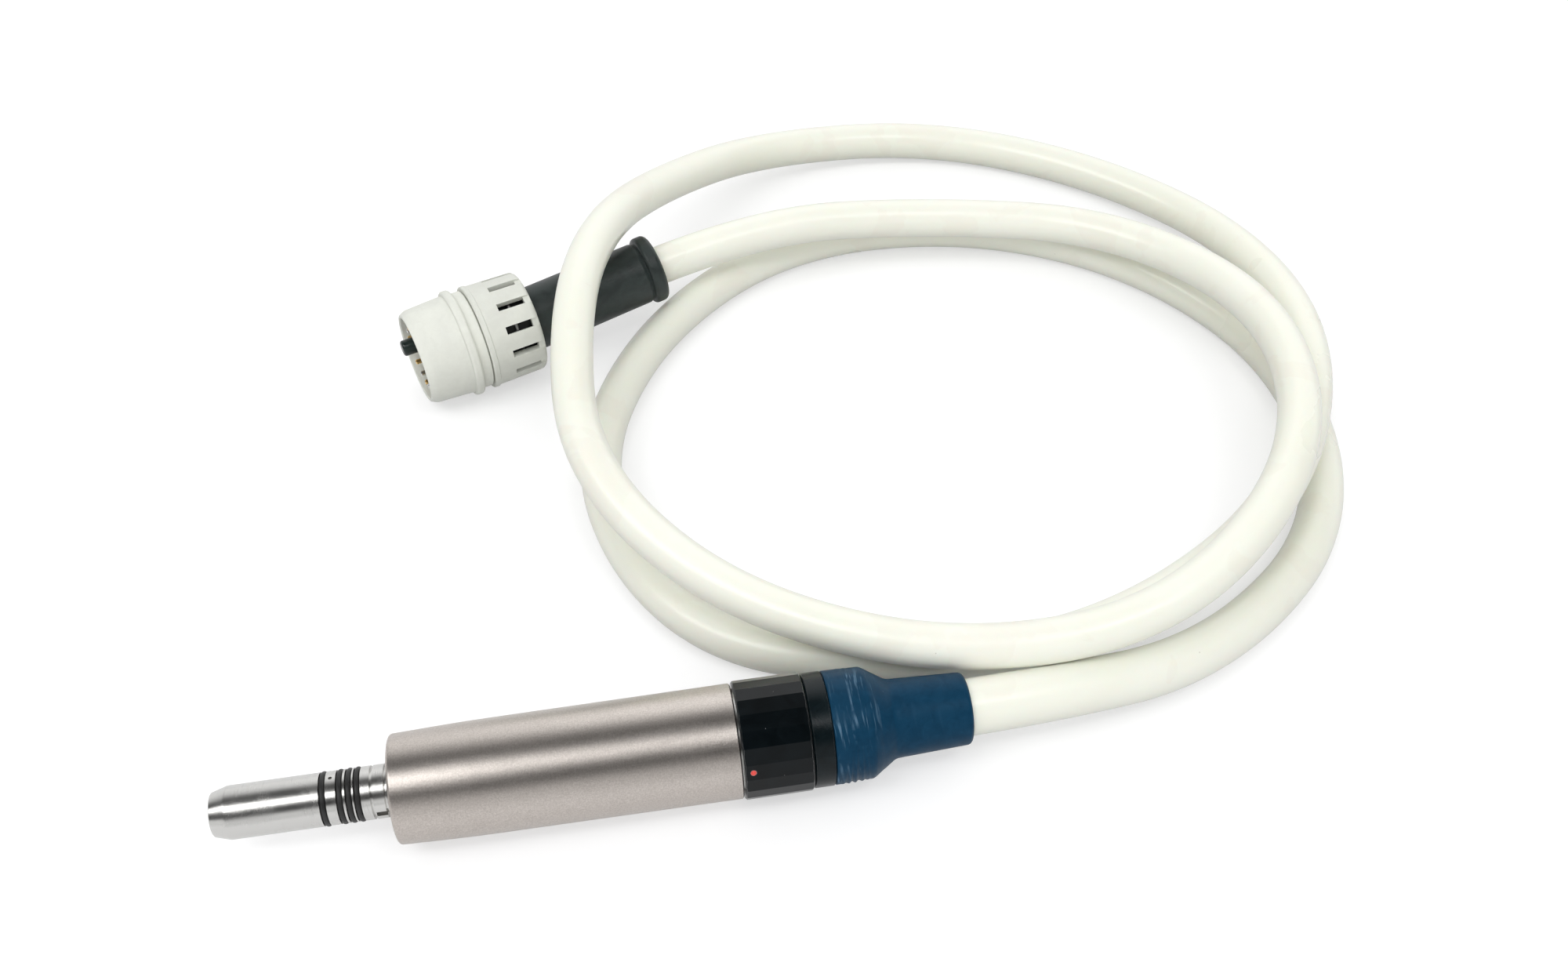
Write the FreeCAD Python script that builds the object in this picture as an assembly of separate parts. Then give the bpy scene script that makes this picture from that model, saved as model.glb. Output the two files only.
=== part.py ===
import FreeCAD
import Part

import math
import os

Vector = FreeCAD.Vector

# All sizes are in millimetres and degrees.
# Motor stations run along its axis from the spigot's tip towards the hose.

# Cutters run this far past the pieces, and edges smaller than the limit are bevelled, not rounded
overshoot = 1.0
bevel_limit = 0.5

# Coupling spigot
spigot_radius = 5.0
spigot_length = 33.1
spigot_tip_radius = 4.1
spigot_tip_length = 3.0
spigot_edge = 0.25
drive_bore_radius = 3.3
drive_bore_depth = 9.6
shaft_bore_radius = 3.0
bore_edge = 0.2
flange_thickness = 4.2
base_groove_inset = 3.9
base_groove_width = 0.5
base_groove_depth = 0.6
face_groove_width = 0.4
face_groove_inset = 1.35
notch_width = 1.3
notch_depth = 1.5
notch_azimuth = 177.0
port_radius = 0.35
port_depth = 1.2
port_azimuths = (74.0, 220.0, 340.0)

# Seal rings of the spigot, placed from the body's front
seal_insets = (12.5, 9.4, 7.75, 6.2)
seal_thickness = 1.1
seal_proud = 0.12
seal_play = 0.05
seal_side_play = 0.08

# Body sleeve
body_length = 64.4
body_rear_radius = 11.0
body_wall = 1.7
body_front_step = 0.7
body_bulge_step = 0.25
body_bulge_station = 14.0
body_bulge_round = 400.0
body_front_wall = 1.2
body_front_round = 0.7
body_rear_round = 0.25
spigot_hole_play = 0.05

# Union ring, which joins the hose to the motor
ring_gap = 0.3
union_length = 13.1
union_proud = 0.2
union_facets = 22
union_edge = 0.3
union_bore_play = 0.1
union_lip_length = 1.5
union_turn = 35.0
lug_count = 3
lug_width = 20.0
lug_length = 1.5
lug_height = 0.55
lug_play = 0.1
lug_side_play = 1.5
lug_inset = 3.3
dot_radius = 0.55
dot_thickness = 0.3
dot_inset = 1.6
dot_facet = 9

# Bayonet sleeve at the motor's rear
bayonet_length = 9.8
bayonet_overhang = 6.5
bayonet_wall = 1.0

# Collar ring and boot
collar_gap = 0.15
collar_length = 4.05
collar_edge = 0.25
boot_gap = 0.05
boot_wide_length = 7.5
boot_step = 0.05
boot_taper = 0.2
boot_shoulder_length = 4.8
boot_neck_start_radius = 7.65
boot_neck_length = 15.1
boot_neck_end_radius = 7.0
boot_shoulder_round = 2.0
boot_lip_round = 0.9

# Hose
hose_radius = 4.6
hose_end_radius = 5.6
hose_taper_runs = 3
arc_share = 0.45
hose_motor_run = 25.2
hose_plug_run = 32.0
hose_inset = 6.0
hose_start_depth = 12.45

# Hose route on the table, from the motor's end to the plug's end, chosen by eye
hose_route = [
    (126.0, 7.0, 5.3),
    (163.5, 36.5, 4.65),
    (171.7, 84.0, 4.65),
    (147.3, 125.1, 4.65),
    (106.0, 147.0, 4.65),
    (58.5, 146.8, 4.65),
    (20.5, 118.2, 4.65),
    (2.3, 75.0, 4.65),
    (20.3, 28.6, 4.65),
    (63.5, 15.2, 4.65),
    (109.0, 16.6, 5.6),
    (150.5, 36.6, 14.6),
    (173.6, 78.5, 15.2),
    (174.0, 125.0, 7.2),
    (145.0, 162.0, 4.65),
    (104.0, 183.2, 4.65),
    (58.0, 181.2, 7.6),
    (29.5, 156.0, 20.0),
    (13.0, 129.0, 31.5),
    (4.2, 100.0, 33.0),
    (2.2, 64.5, 22.0),
    (27.5, 30.5, 15.5),
    (71.0, 9.0, 14.8),
    (117.0, 9.0, 19.4),
    (153.5, 39.5, 27.0),
    (163.6, 86.0, 23.0),
    (140.0, 128.0, 14.6),
    (95.0, 141.0, 13.4),
]

# Ball bearings
bearing_width = 3.0
bearing_outer_radius = 4.5
bearing_bore_radius = 2.0
outer_race_land = 3.75
inner_race_land = 2.75
ball_radius = 0.79
ball_play = 0.03
ball_count = 8
cage_width = 2.3
cage_play = 0.15
cage_ball_play = 0.06
race_edge = 0.12

# Rotor
shaft_radius = 1.5
shoulder_radius = 2.6
shoulder_length = 1.2
magnet_seat_radius = 2.4
magnet_length = 27.0
magnet_band_wall = 0.15
balance_length = 2.0
balance_step = 0.3
balance_drill_radius = 0.6
balance_drill_depth = 0.9
front_drill_azimuth = 40.0
rear_drill_azimuth = 250.0
shaft_rear_stub = 0.2

# Drive dog, its pin, spring and collar
dog_gap = 0.8
dog_length = 11.0
dog_radius = 2.6
dog_fork_depth = 3.2
dog_fork_width = 1.6
dog_web = 1.6
dog_play = 0.05
dog_edge = 0.3
dog_travel = 1.5
dog_end_play = 0.3
dog_pin_radius = 0.4
dog_pin_inset = 2.2
spring_wire_radius = 0.25
spring_coil_radius = 2.05
spring_turns = 5
spring_end_play = 0.05
spring_length = 6.8
collar_seat_length = 1.2
collar_seat_radius = 2.6

# Stator
air_gap = 0.4
core_wall = 2.1
winding_wall = 1.45
winding_end_wall = 1.85
core_length = 30.0
core_gap = 4.6
winding_overhang = 2.5
winding_end_gap = 0.1
sensor_gap = 1.5
sensor_thickness = 0.8
sensor_bore_radius = 3.2
hall_count = 3
hall_width = 1.6
hall_height = 1.2
hall_thickness = 0.7
hall_circle = 5.9

# Rear bearing carrier and terminal block
carrier_inset = 9.6
carrier_length = 5.0
preload_height = 0.35
preload_thickness = 0.15
preload_play = 0.03
terminal_flange = 1.1
terminal_length = 3.9
block_gap = 0.05
pin_count = 5
pin_radius = 0.5
pin_circle = 5.0
pin_length = 10.1

# Water and spray air tubes
tube_radius = 0.6
tube_bore_radius = 0.35
tube_inset = 0.85
tube_play = 0.05
water_azimuth = 60.0
air_azimuth = 120.0
tube_seat_depth = 1.5

# Hose connector
connector_boss_gap = 0.2
connector_play = 0.1
connector_barrel_play = 0.05
barb_radius = 5.5
barb_length = 2.2
barb_cone_length = 4.7
stem_inside_boot = 0.2
socket_play = 0.1
face_seal_thickness = 1.0
face_seal_inset = 2.6
ferrule_radius = 6.0
ferrule_length = 4.5
ferrule_play = 0.05
boot_wall_clear = 0.2

# Plug of the hose. Stations run along its axis from its ridge towards the sleeve.
plug_ridge_x = -21.6
plug_ridge_y = 115.3
plug_yaw = 18.0
ridge_radius = 12.6
ridge_width = 2.1
ridge_round = 0.7
shell_mouth = 11.3
shell_mouth_radius = 10.45
shell_brow_length = 1.4
shell_brow_radius = 11.15
shell_brow_round = 2.0
shell_front_radius = 11.7
shell_band_radius = 11.5
shell_rear = 3.5
shell_bore_radius = 9.7
shell_edge = 0.25
contact_face = 1.5
contact_block_length = 4.3
contact_count = 14
contact_radius = 0.6
contact_circle = 7.0
contact_length = 9.1
contact_edge = 0.2
nozzle_radius = 0.9
nozzle_length = 3.5
nozzle_circle = 3.4
nozzle_azimuths = (215.0, 325.0)
post_radius = 1.85
post_circle = 4.2
post_azimuth = 90.0
post_proud = 2.3
post_round = 0.6

# Locking ring of the plug and the core that it turns on
lock_gap = 0.15
lock_rear = 16.9
lock_flange_radius = 12.3
lock_flange_length = 1.35
lock_front_radius = 12.05
lock_rear_radius = 11.8
lock_rear_round = 1.3
lock_edge = 0.2
lock_play = 0.08
lock_turn_play = 0.1
lock_lip_cover = 0.75
lock_lip_thickness = 0.5
slot_count = 13
slot_width = 1.8
slot_front = 8.8
slot_rear = 15.2
slot_groove_depth = 0.5
slot_phase = 1.35
core_step = 0.25
core_waist_depth = 1.25
core_waist_margin = 0.5
core_rear = 16.3
core_flange_length = 0.65
snap_wire_radius = 0.45
snap_station = 11.8
snap_gap = 30.0
snap_play = 0.05

# Strain relief sleeve of the plug
relief_socket_depth = 3.0
relief_root_radius = 7.5
relief_bend_station = 18.0
relief_lift = 5.5
relief_length = 32.0
relief_end_radius = 7.35
relief_bead_radius = 8.15
relief_bead_length = 3.6
relief_bead_round = 1.2
relief_waist = 0.35
relief_groove_length = 1.0

# Places along the motor's axis, worked out from the sizes above
body_front = spigot_length
body_rear = body_front + body_length
base_groove_station = body_front - base_groove_inset
seal_stations = [body_front - inset for inset in seal_insets]
union_front = body_rear + ring_gap
union_rear = union_front + union_length
collar_front = union_rear + collar_gap
collar_rear = collar_front + collar_length
boot_front = collar_rear + boot_gap
boot_shoulder = boot_front + boot_wide_length
boot_neck = boot_shoulder + boot_shoulder_length
boot_end = boot_neck + boot_neck_length
motor_length = boot_end

axis_height = body_rear_radius + union_proud
facet_step = 360.0 / union_facets
union_radius = axis_height / math.cos(math.radians(facet_step / 2))

body_front_radius = body_rear_radius - body_front_step
body_bulge_radius = body_rear_radius - body_bulge_step
body_bore_radius = body_rear_radius - body_wall
collar_radius = body_rear_radius
boot_wide_radius = collar_radius - boot_step
boot_shoulder_radius = boot_wide_radius - boot_taper

flange_front = body_front + body_front_wall
flange_rear = flange_front + flange_thickness
front_bearing = flange_rear - bearing_width - race_edge
carrier_station = body_rear - carrier_inset
carrier_rear = carrier_station + carrier_length
rear_bearing = carrier_station + race_edge
sensor_station = carrier_station - sensor_gap - sensor_thickness
core_end = sensor_station - core_gap
core_station = core_end - core_length
magnet_station = core_station + (core_length - magnet_length) / 2
ball_circle = (outer_race_land + inner_race_land) / 2
bayonet_radius = body_bore_radius
bayonet_rear = body_rear + bayonet_overhang
bayonet_front = bayonet_rear - bayonet_length
bayonet_bore = bayonet_radius - bayonet_wall
lug_front = union_front + lug_inset
lug_rear = lug_front + lug_length
lug_radius = bayonet_radius + lug_height
stem_radius = bayonet_bore
union_bore = bayonet_radius + union_bore_play
union_lip_front = union_rear - union_lip_length
magnet_rear = magnet_station + magnet_length
winding_radius = body_bore_radius - core_wall
winding_bore = winding_radius - winding_wall
magnet_radius = winding_bore - air_gap - magnet_band_wall
balance_radius = magnet_radius - balance_step
tube_circle = body_bore_radius - tube_inset
tube_azimuths = [water_azimuth, air_azimuth]
terminal_front = carrier_rear + block_gap
connector_front = terminal_front + terminal_flange + terminal_length + connector_boss_gap
hose_start = boot_end - hose_start_depth
stem_end = boot_shoulder + stem_inside_boot
barb_front = stem_end + barb_cone_length
dog_station = drive_bore_depth + dog_gap
dog_bore_front = dog_station + dog_fork_depth + dog_web
shaft_tip_station = dog_bore_front + dog_travel + dog_end_play
dog_pin_station = shaft_tip_station + dog_pin_inset
collar_seat_station = dog_station + dog_length + spring_length
relief_root_front = core_rear - relief_socket_depth
core_radius = shell_bore_radius + core_step
core_waist_radius = core_radius - core_waist_depth
lock_lip_radius = core_radius - lock_lip_cover

motor_place = FreeCAD.Placement(
    Vector(-motor_length / 2, 0, axis_height), FreeCAD.Rotation()
)
plug_place = FreeCAD.Placement(
    Vector(plug_ridge_x, plug_ridge_y, ridge_radius),
    FreeCAD.Rotation(Vector(0, 0, 1), plug_yaw),
)
relief_place = FreeCAD.Placement(
    Vector(relief_bend_station, 0, 0),
    FreeCAD.Rotation(Vector(0, 1, 0), -relief_lift),
)


def around(radius, azimuth, station=0.0):
    """Point at a distance from the axis, with the azimuth turning from Y to Z."""
    angle = math.radians(azimuth)
    return Vector(station, radius * math.cos(angle), radius * math.sin(angle))


def outline(corners):
    """Closed outline of straight lines whose corners may be rounded.

    A corner is (station, radius) or (station, radius, rounding). Small roundings become bevels.
    """
    count = len(corners)
    points = [Vector(corner[0], 0, corner[1]) for corner in corners]
    stops = []
    for i, corner in enumerate(corners):
        here = points[i]
        rounding = corner[2] if len(corner) > 2 else 0
        if not rounding:
            stops.append((here, None, here))
            continue
        back = (points[i - 1] - here).normalize()
        ahead = (points[(i + 1) % count] - here).normalize()
        half = back.getAngle(ahead) / 2
        reach = rounding / math.tan(half)
        middle = None
        if rounding >= bevel_limit:
            inward = (back + ahead).normalize()
            middle = here + inward * (rounding / math.sin(half) - rounding)
        stops.append((here + back * reach, middle, here + ahead * reach))
    edges = []
    for i, (first, middle, last) in enumerate(stops):
        if middle is not None:
            edges.append(Part.Arc(first, middle, last).toShape())
        elif first is not last:
            edges.append(Part.LineSegment(first, last).toShape())
        following = stops[(i + 1) % count][0]
        edges.append(Part.LineSegment(last, following).toShape())
    return Part.Wire(edges)


def turned(corners):
    """Solid turned about the axis from an outline."""
    face = Part.Face(outline(corners))
    return face.revolve(Vector(0, 0, 0), Vector(1, 0, 0), 360)


def tube(front, rear, bore, radius, edge=0.0):
    """Ring with square bore and softened outer edges."""
    return turned([(front, bore), (rear, bore), (rear, radius, edge), (front, radius, edge)])


def rod(front, rear, radius, circle=0.0, azimuth=0.0):
    """Round bar parallel to the axis, on it or at a place on a circle about it."""
    return Part.makeCylinder(radius, rear - front, around(circle, azimuth, front), Vector(1, 0, 0))


def rods(front, rear, radius, circle, azimuths):
    return [rod(front, rear, radius, circle, azimuth) for azimuth in azimuths]


def spread(count, phase=0.0):
    """Azimuths of a number of places evenly spread about the axis."""
    return [phase + 360.0 * i / count for i in range(count)]


def sector(front, rear, inner, outer, start, sweep):
    """Part of a ring between two azimuths."""
    corners = [
        around(inner, start, front),
        around(outer, start, front),
        around(outer, start, rear),
        around(inner, start, rear),
    ]
    face = Part.Face(Part.makePolygon(corners + corners[:1]))
    return face.revolve(Vector(0, 0, 0), Vector(1, 0, 0), sweep)


def radial_hole(station, radius, inner, outer, azimuth):
    """Round cutter that points away from the axis."""
    direction = around(1.0, azimuth)
    return Part.makeCylinder(radius, outer - inner, around(inner, azimuth, station), direction)


def radial_slot(front, rear, width, inner, outer, azimuth):
    """Square cutter along the axis that points away from it."""
    box = Part.makeBox(rear - front, width, outer - inner, Vector(front, -width / 2, inner))
    return box.rotated(Vector(0, 0, 0), Vector(1, 0, 0), azimuth - 90.0)


def coupling_spigot():
    groove_bottom = spigot_radius + seal_proud - seal_thickness - seal_play
    groove_half = seal_thickness / 2 + seal_side_play
    base_bottom = spigot_radius - base_groove_depth
    face_groove = body_front - face_groove_inset
    pocket_front = front_bearing
    corners = [
        (0, drive_bore_radius, bore_edge),
        (0, spigot_tip_radius, spigot_edge),
        (spigot_tip_length, spigot_radius, spigot_tip_length / 3),
    ]
    for station in seal_stations:
        corners += [
            (station - groove_half, spigot_radius),
            (station - groove_half, groove_bottom),
            (station + groove_half, groove_bottom),
            (station + groove_half, spigot_radius),
        ]
    for front, width in (
        (base_groove_station, base_groove_width),
        (face_groove, face_groove_width),
    ):
        corners += [
            (front, spigot_radius),
            (front, base_bottom),
            (front + width, base_bottom),
            (front + width, spigot_radius),
        ]
    corners += [
        (flange_front, spigot_radius),
        (flange_front, body_bore_radius),
        (flange_rear, body_bore_radius),
        (flange_rear, bearing_outer_radius),
        (pocket_front, bearing_outer_radius),
        (pocket_front, shaft_bore_radius),
        (drive_bore_depth, shaft_bore_radius),
        (drive_bore_depth, drive_bore_radius),
    ]
    cutters = [
        radial_slot(
            base_groove_station + base_groove_width,
            body_front,
            notch_width,
            spigot_radius - notch_depth,
            spigot_radius + overshoot,
            notch_azimuth,
        )
    ]
    lands = zip(seal_stations, seal_stations[1:], port_azimuths)
    for before, after, azimuth in lands:
        cutters.append(
            radial_hole(
                (before + after) / 2,
                min(port_radius, (after - before) / 2 - groove_half),
                spigot_radius - port_depth,
                spigot_radius + overshoot,
                azimuth,
            )
        )
    cutters += rods(
        flange_rear - tube_seat_depth,
        flange_rear + overshoot,
        tube_radius,
        tube_circle,
        tube_azimuths,
    )
    return turned(corners).cut(cutters)


def seal_ring(station):
    section = seal_thickness / 2
    middle = spigot_radius + seal_proud - section
    return Part.makeTorus(middle, section, Vector(station, 0, 0), Vector(1, 0, 0))


def body_sleeve():
    hole = spigot_radius + spigot_hole_play
    return turned(
        [
            (body_front, hole),
            (body_front, body_front_radius, body_front_round),
            (body_front + body_bulge_station, body_bulge_radius, body_bulge_round),
            (body_rear, body_rear_radius, body_rear_round),
            (body_rear, body_bore_radius),
            (flange_front, body_bore_radius),
            (flange_front, hole),
        ]
    )


def bayonet_sleeve():
    sleeve = tube(bayonet_front, bayonet_rear, bayonet_bore, bayonet_radius)
    lugs = [
        sector(lug_front, lug_rear, bayonet_radius - bayonet_wall / 2, lug_radius, start, lug_width)
        for start in spread(lug_count, -lug_width / 2)
    ]
    return sleeve.fuse(lugs)


def union_ring():
    corners = [around(union_radius, azimuth, union_front) for azimuth in spread(union_facets)]
    prism = Part.Face(Part.makePolygon(corners + corners[:1])).extrude(Vector(union_length, 0, 0))
    far = union_radius + overshoot
    soft = turned(
        [
            (union_front, 0),
            (union_front, union_radius, union_edge),
            (union_rear, union_radius, union_edge),
            (union_rear, 0),
        ]
    )
    bore = turned(
        [
            (union_front - overshoot, 0),
            (union_front - overshoot, union_bore),
            (union_lip_front, union_bore),
            (union_lip_front, stem_radius + union_bore_play),
            (union_rear + overshoot, stem_radius + union_bore_play),
            (union_rear + overshoot, 0),
        ]
    )
    channel = lug_radius + lug_play
    half = lug_width / 2 + lug_side_play
    cutters = [bore, dot_pocket(dot_thickness, far)]
    for azimuth in spread(lug_count):
        run = sector(
            lug_front - lug_play, lug_rear + lug_play, 0, channel, azimuth - half, union_turn + 2 * half
        )
        entry = sector(
            union_front - overshoot, lug_rear, 0, channel, azimuth + union_turn - half, 2 * half
        )
        cutters += [run, entry]
    return prism.common(soft).cut(cutters)


def dot_pocket(depth, outer):
    azimuth = (dot_facet + 0.5) * facet_step
    return radial_hole(union_front + dot_inset, dot_radius, axis_height - depth, outer, azimuth)


def index_dot():
    return dot_pocket(dot_thickness, axis_height)


def collar_ring():
    return tube(collar_front, collar_rear, stem_radius, collar_radius, collar_edge)


def boot():
    ferrule_end = hose_start + ferrule_length + ferrule_play
    pocket = ferrule_radius + ferrule_play
    return turned(
        [
            (boot_front, stem_radius),
            (boot_front, boot_wide_radius, boot_lip_round / 3),
            (boot_shoulder, boot_shoulder_radius, boot_shoulder_round),
            (boot_neck, boot_neck_start_radius, boot_shoulder_round),
            (boot_end, boot_neck_end_radius, boot_lip_round),
            (boot_end, hose_end_radius),
            (ferrule_end, hose_end_radius),
            (ferrule_end, pocket),
            (barb_front + boot_wall_clear, pocket),
            (stem_end + boot_wall_clear, stem_radius),
        ]
    )


def hose_connector():
    boss = bayonet_bore - connector_play
    barrel = bayonet_radius + connector_barrel_play
    seal_station = connector_front + face_seal_inset
    seal_half = face_seal_thickness / 2 + seal_side_play
    seal_bottom = boss - face_seal_thickness
    body = turned(
        [
            (connector_front, 0),
            (connector_front, boss),
            (seal_station - seal_half, boss),
            (seal_station - seal_half, seal_bottom),
            (seal_station + seal_half, seal_bottom),
            (seal_station + seal_half, boss),
            (bayonet_rear + connector_play, boss),
            (bayonet_rear + connector_play, barrel),
            (union_lip_front - connector_play, barrel),
            (union_lip_front - connector_play, stem_radius),
            (stem_end, stem_radius),
            (barb_front, barb_radius),
            (hose_start, barb_radius),
            (hose_start, 0),
        ]
    )
    pin_end = terminal_front + pin_length
    sockets = rods(
        connector_front - overshoot,
        pin_end + socket_play,
        pin_radius + socket_play,
        pin_circle,
        spread(pin_count, 90.0),
    )
    return body.cut(sockets)


def face_seal():
    section = face_seal_thickness / 2
    middle = bayonet_bore - connector_play - section
    station = connector_front + face_seal_inset
    return Part.makeTorus(middle, section, Vector(station, 0, 0), Vector(1, 0, 0))


def hose_ferrule():
    return tube(hose_start, hose_start + ferrule_length, hose_end_radius, ferrule_radius)


def outer_race(front):
    middle = front + bearing_width / 2
    ring = tube(front, front + bearing_width, outer_race_land, bearing_outer_radius, race_edge)
    return ring.cut(race_groove(middle))


def inner_race(front):
    middle = front + bearing_width / 2
    ring = tube(front, front + bearing_width, bearing_bore_radius, inner_race_land, race_edge)
    return ring.cut(race_groove(middle))


def race_groove(station):
    return Part.makeTorus(ball_circle, ball_radius + ball_play, Vector(station, 0, 0), Vector(1, 0, 0))


def bearing_balls(front):
    middle = front + bearing_width / 2
    centres = [around(ball_circle, azimuth, middle) for azimuth in spread(ball_count)]
    return Part.makeCompound([Part.makeSphere(ball_radius, centre) for centre in centres])


def bearing_cage(front):
    middle = front + bearing_width / 2
    inner = inner_race_land + cage_play
    outer = outer_race_land - cage_play
    ring = tube(middle - cage_width / 2, middle + cage_width / 2, inner, outer)
    holes = [
        radial_hole(middle, ball_radius + cage_ball_play, 0, outer + overshoot, azimuth)
        for azimuth in spread(ball_count)
    ]
    return ring.cut(holes)


def rotor_shaft():
    front_shoulder = front_bearing + bearing_width
    shaft = turned(
        [
            (shaft_tip_station, 0),
            (shaft_tip_station, shaft_radius, race_edge),
            (front_bearing, shaft_radius),
            (front_bearing, bearing_bore_radius),
            (front_shoulder, bearing_bore_radius),
            (front_shoulder, shoulder_radius),
            (front_shoulder + shoulder_length, shoulder_radius),
            (front_shoulder + shoulder_length, magnet_seat_radius),
            (rear_bearing - shoulder_length, magnet_seat_radius),
            (rear_bearing - shoulder_length, shoulder_radius),
            (rear_bearing, shoulder_radius),
            (rear_bearing, bearing_bore_radius),
            (rear_bearing + bearing_width + shaft_rear_stub, bearing_bore_radius, race_edge),
            (rear_bearing + bearing_width + shaft_rear_stub, 0),
        ]
    )
    return shaft.cut(pin_bar(shaft_radius + overshoot))


def pin_bar(reach):
    """Round bar across the axis where the dog's pin goes."""
    return Part.makeCylinder(
        dog_pin_radius, 2 * reach, Vector(dog_pin_station, -reach, 0), Vector(0, 1, 0)
    )


def dog_pin():
    return pin_bar(dog_radius)


def drive_dog():
    rear = dog_station + dog_length
    body = turned(
        [
            (dog_station, 0),
            (dog_station, dog_radius, dog_edge),
            (rear, dog_radius, dog_edge),
            (rear, shaft_radius + dog_play),
            (dog_bore_front, shaft_radius + dog_play),
            (dog_bore_front, 0),
        ]
    )
    wide = dog_radius + overshoot
    fork = Part.makeBox(
        dog_fork_depth + overshoot,
        2 * wide,
        dog_fork_width,
        Vector(dog_station - overshoot, -wide, -dog_fork_width / 2),
    )
    half = dog_pin_radius + dog_play
    slot = Part.makeBox(
        dog_travel, 2 * wide, 2 * half, Vector(dog_pin_station - dog_travel, -wide, -half)
    )
    ends = [
        Part.makeCylinder(half, 2 * wide, Vector(station, -wide, 0), Vector(0, 1, 0))
        for station in (dog_pin_station - dog_travel, dog_pin_station)
    ]
    return body.cut([fork, slot] + ends)


def dog_spring():
    free = spring_length - 2 * (spring_wire_radius + spring_end_play)
    start = dog_station + dog_length + spring_wire_radius + spring_end_play
    helix = Part.makeHelix(free / spring_turns, free, spring_coil_radius)
    section = Part.Wire(
        Part.makeCircle(spring_wire_radius, Vector(spring_coil_radius, 0, 0), Vector(0, 1, 0))
    )
    coil = Part.Wire(helix).makePipeShell([section], True, True)
    coil.rotate(Vector(0, 0, 0), Vector(0, 1, 0), 90)
    coil.translate(Vector(start, 0, 0))
    return coil


def spring_collar():
    rear = collar_seat_station + collar_seat_length
    return tube(collar_seat_station, rear, shaft_radius, collar_seat_radius)


def rotor_magnet():
    return tube(magnet_station, magnet_rear, magnet_seat_radius, magnet_radius)


def magnet_band():
    return tube(magnet_station, magnet_rear, magnet_radius, magnet_radius + magnet_band_wall)


def balance_ring(front, drill_front, azimuth):
    ring = tube(front, front + balance_length, magnet_seat_radius, balance_radius)
    middle = (magnet_seat_radius + balance_radius) / 2
    drill_rear = drill_front + balance_drill_depth
    return ring.cut(rod(drill_front, drill_rear, balance_drill_radius, middle, azimuth))


def front_balance_ring():
    front = magnet_station - balance_length
    return balance_ring(front, front, front_drill_azimuth)


def rear_balance_ring():
    drill_front = magnet_rear + balance_length - balance_drill_depth
    return balance_ring(magnet_rear, drill_front, rear_drill_azimuth)


def stator_winding():
    end = core_end + winding_overhang
    front = core_station - winding_overhang
    end_radius = winding_bore + winding_end_wall
    return turned(
        [
            (front, winding_bore),
            (front, end_radius, winding_end_gap),
            (core_station - winding_end_gap, end_radius),
            (core_station - winding_end_gap, winding_radius),
            (core_end + winding_end_gap, winding_radius),
            (core_end + winding_end_gap, end_radius),
            (end, end_radius, winding_end_gap),
            (end, winding_bore),
        ]
    )


def tube_ways(front, rear):
    """Cutters for the two tubes, with room round each."""
    return rods(front, rear, tube_radius + tube_play, tube_circle, tube_azimuths)


def stator_core():
    core = tube(core_station, core_end, winding_radius, body_bore_radius)
    return core.cut(tube_ways(core_station - overshoot, core_end + overshoot))


def small_tube(azimuth):
    front = flange_rear - tube_seat_depth
    rear = terminal_front + terminal_flange
    pipe = rod(front, rear, tube_radius, tube_circle, azimuth)
    bore = rod(front - overshoot, rear + overshoot, tube_bore_radius, tube_circle, azimuth)
    return pipe.cut(bore)


def sensor_board():
    rear = sensor_station + sensor_thickness
    board = tube(sensor_station, rear, sensor_bore_radius, body_bore_radius)
    return board.cut(tube_ways(sensor_station - overshoot, rear + overshoot))


def hall_sensors():
    chips = [
        radial_slot(
            sensor_station - hall_thickness,
            sensor_station,
            hall_width,
            hall_circle - hall_height / 2,
            hall_circle + hall_height / 2,
            azimuth,
        )
        for azimuth in spread(hall_count, 90.0)
    ]
    return Part.makeCompound(chips)


def rear_bearing_carrier():
    pocket = rear_bearing + bearing_width + preload_height
    body = turned(
        [
            (carrier_station, bearing_outer_radius),
            (carrier_station, body_bore_radius),
            (carrier_rear, body_bore_radius),
            (carrier_rear, 0),
            (pocket, 0),
            (pocket, bearing_outer_radius),
        ]
    )
    return body.cut(tube_ways(carrier_station - overshoot, carrier_rear + overshoot))


def preload_washer():
    front = rear_bearing + bearing_width + preload_play
    rear = front + preload_height - 2 * preload_play
    inner = outer_race_land
    outer = bearing_outer_radius - cage_play
    return turned(
        [
            (front, outer),
            (front + preload_thickness, outer),
            (rear, inner),
            (rear - preload_thickness, inner),
        ]
    )


def terminal_block():
    step = terminal_front + terminal_flange
    end = step + terminal_length
    body = turned(
        [
            (terminal_front, 0),
            (terminal_front, body_bore_radius),
            (step, body_bore_radius),
            (step, bayonet_bore),
            (end, bayonet_bore),
            (end, 0),
        ]
    )
    before = terminal_front - overshoot
    pins = rods(before, end + overshoot, pin_radius, pin_circle, spread(pin_count, 90.0))
    tubes = rods(before, step, tube_radius, tube_circle, tube_azimuths)
    return body.cut(pins + tubes)


def motor_pins():
    rear = terminal_front + pin_length
    return Part.makeCompound(
        rods(terminal_front, rear, pin_radius, pin_circle, spread(pin_count, 90.0))
    )


def plug_shell():
    half = ridge_width / 2
    return turned(
        [
            (-shell_mouth, shell_bore_radius, shell_edge),
            (-shell_mouth, shell_mouth_radius, shell_edge),
            (shell_brow_length - shell_mouth, shell_brow_radius, shell_brow_round),
            (-half, shell_front_radius),
            (-half, ridge_radius, ridge_round),
            (half, ridge_radius, ridge_round),
            (half, shell_band_radius),
            (shell_rear, shell_band_radius, shell_edge),
            (shell_rear, shell_bore_radius),
        ]
    )


def contact_block():
    return rod(-contact_face, -contact_face + contact_block_length, shell_bore_radius)


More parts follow.
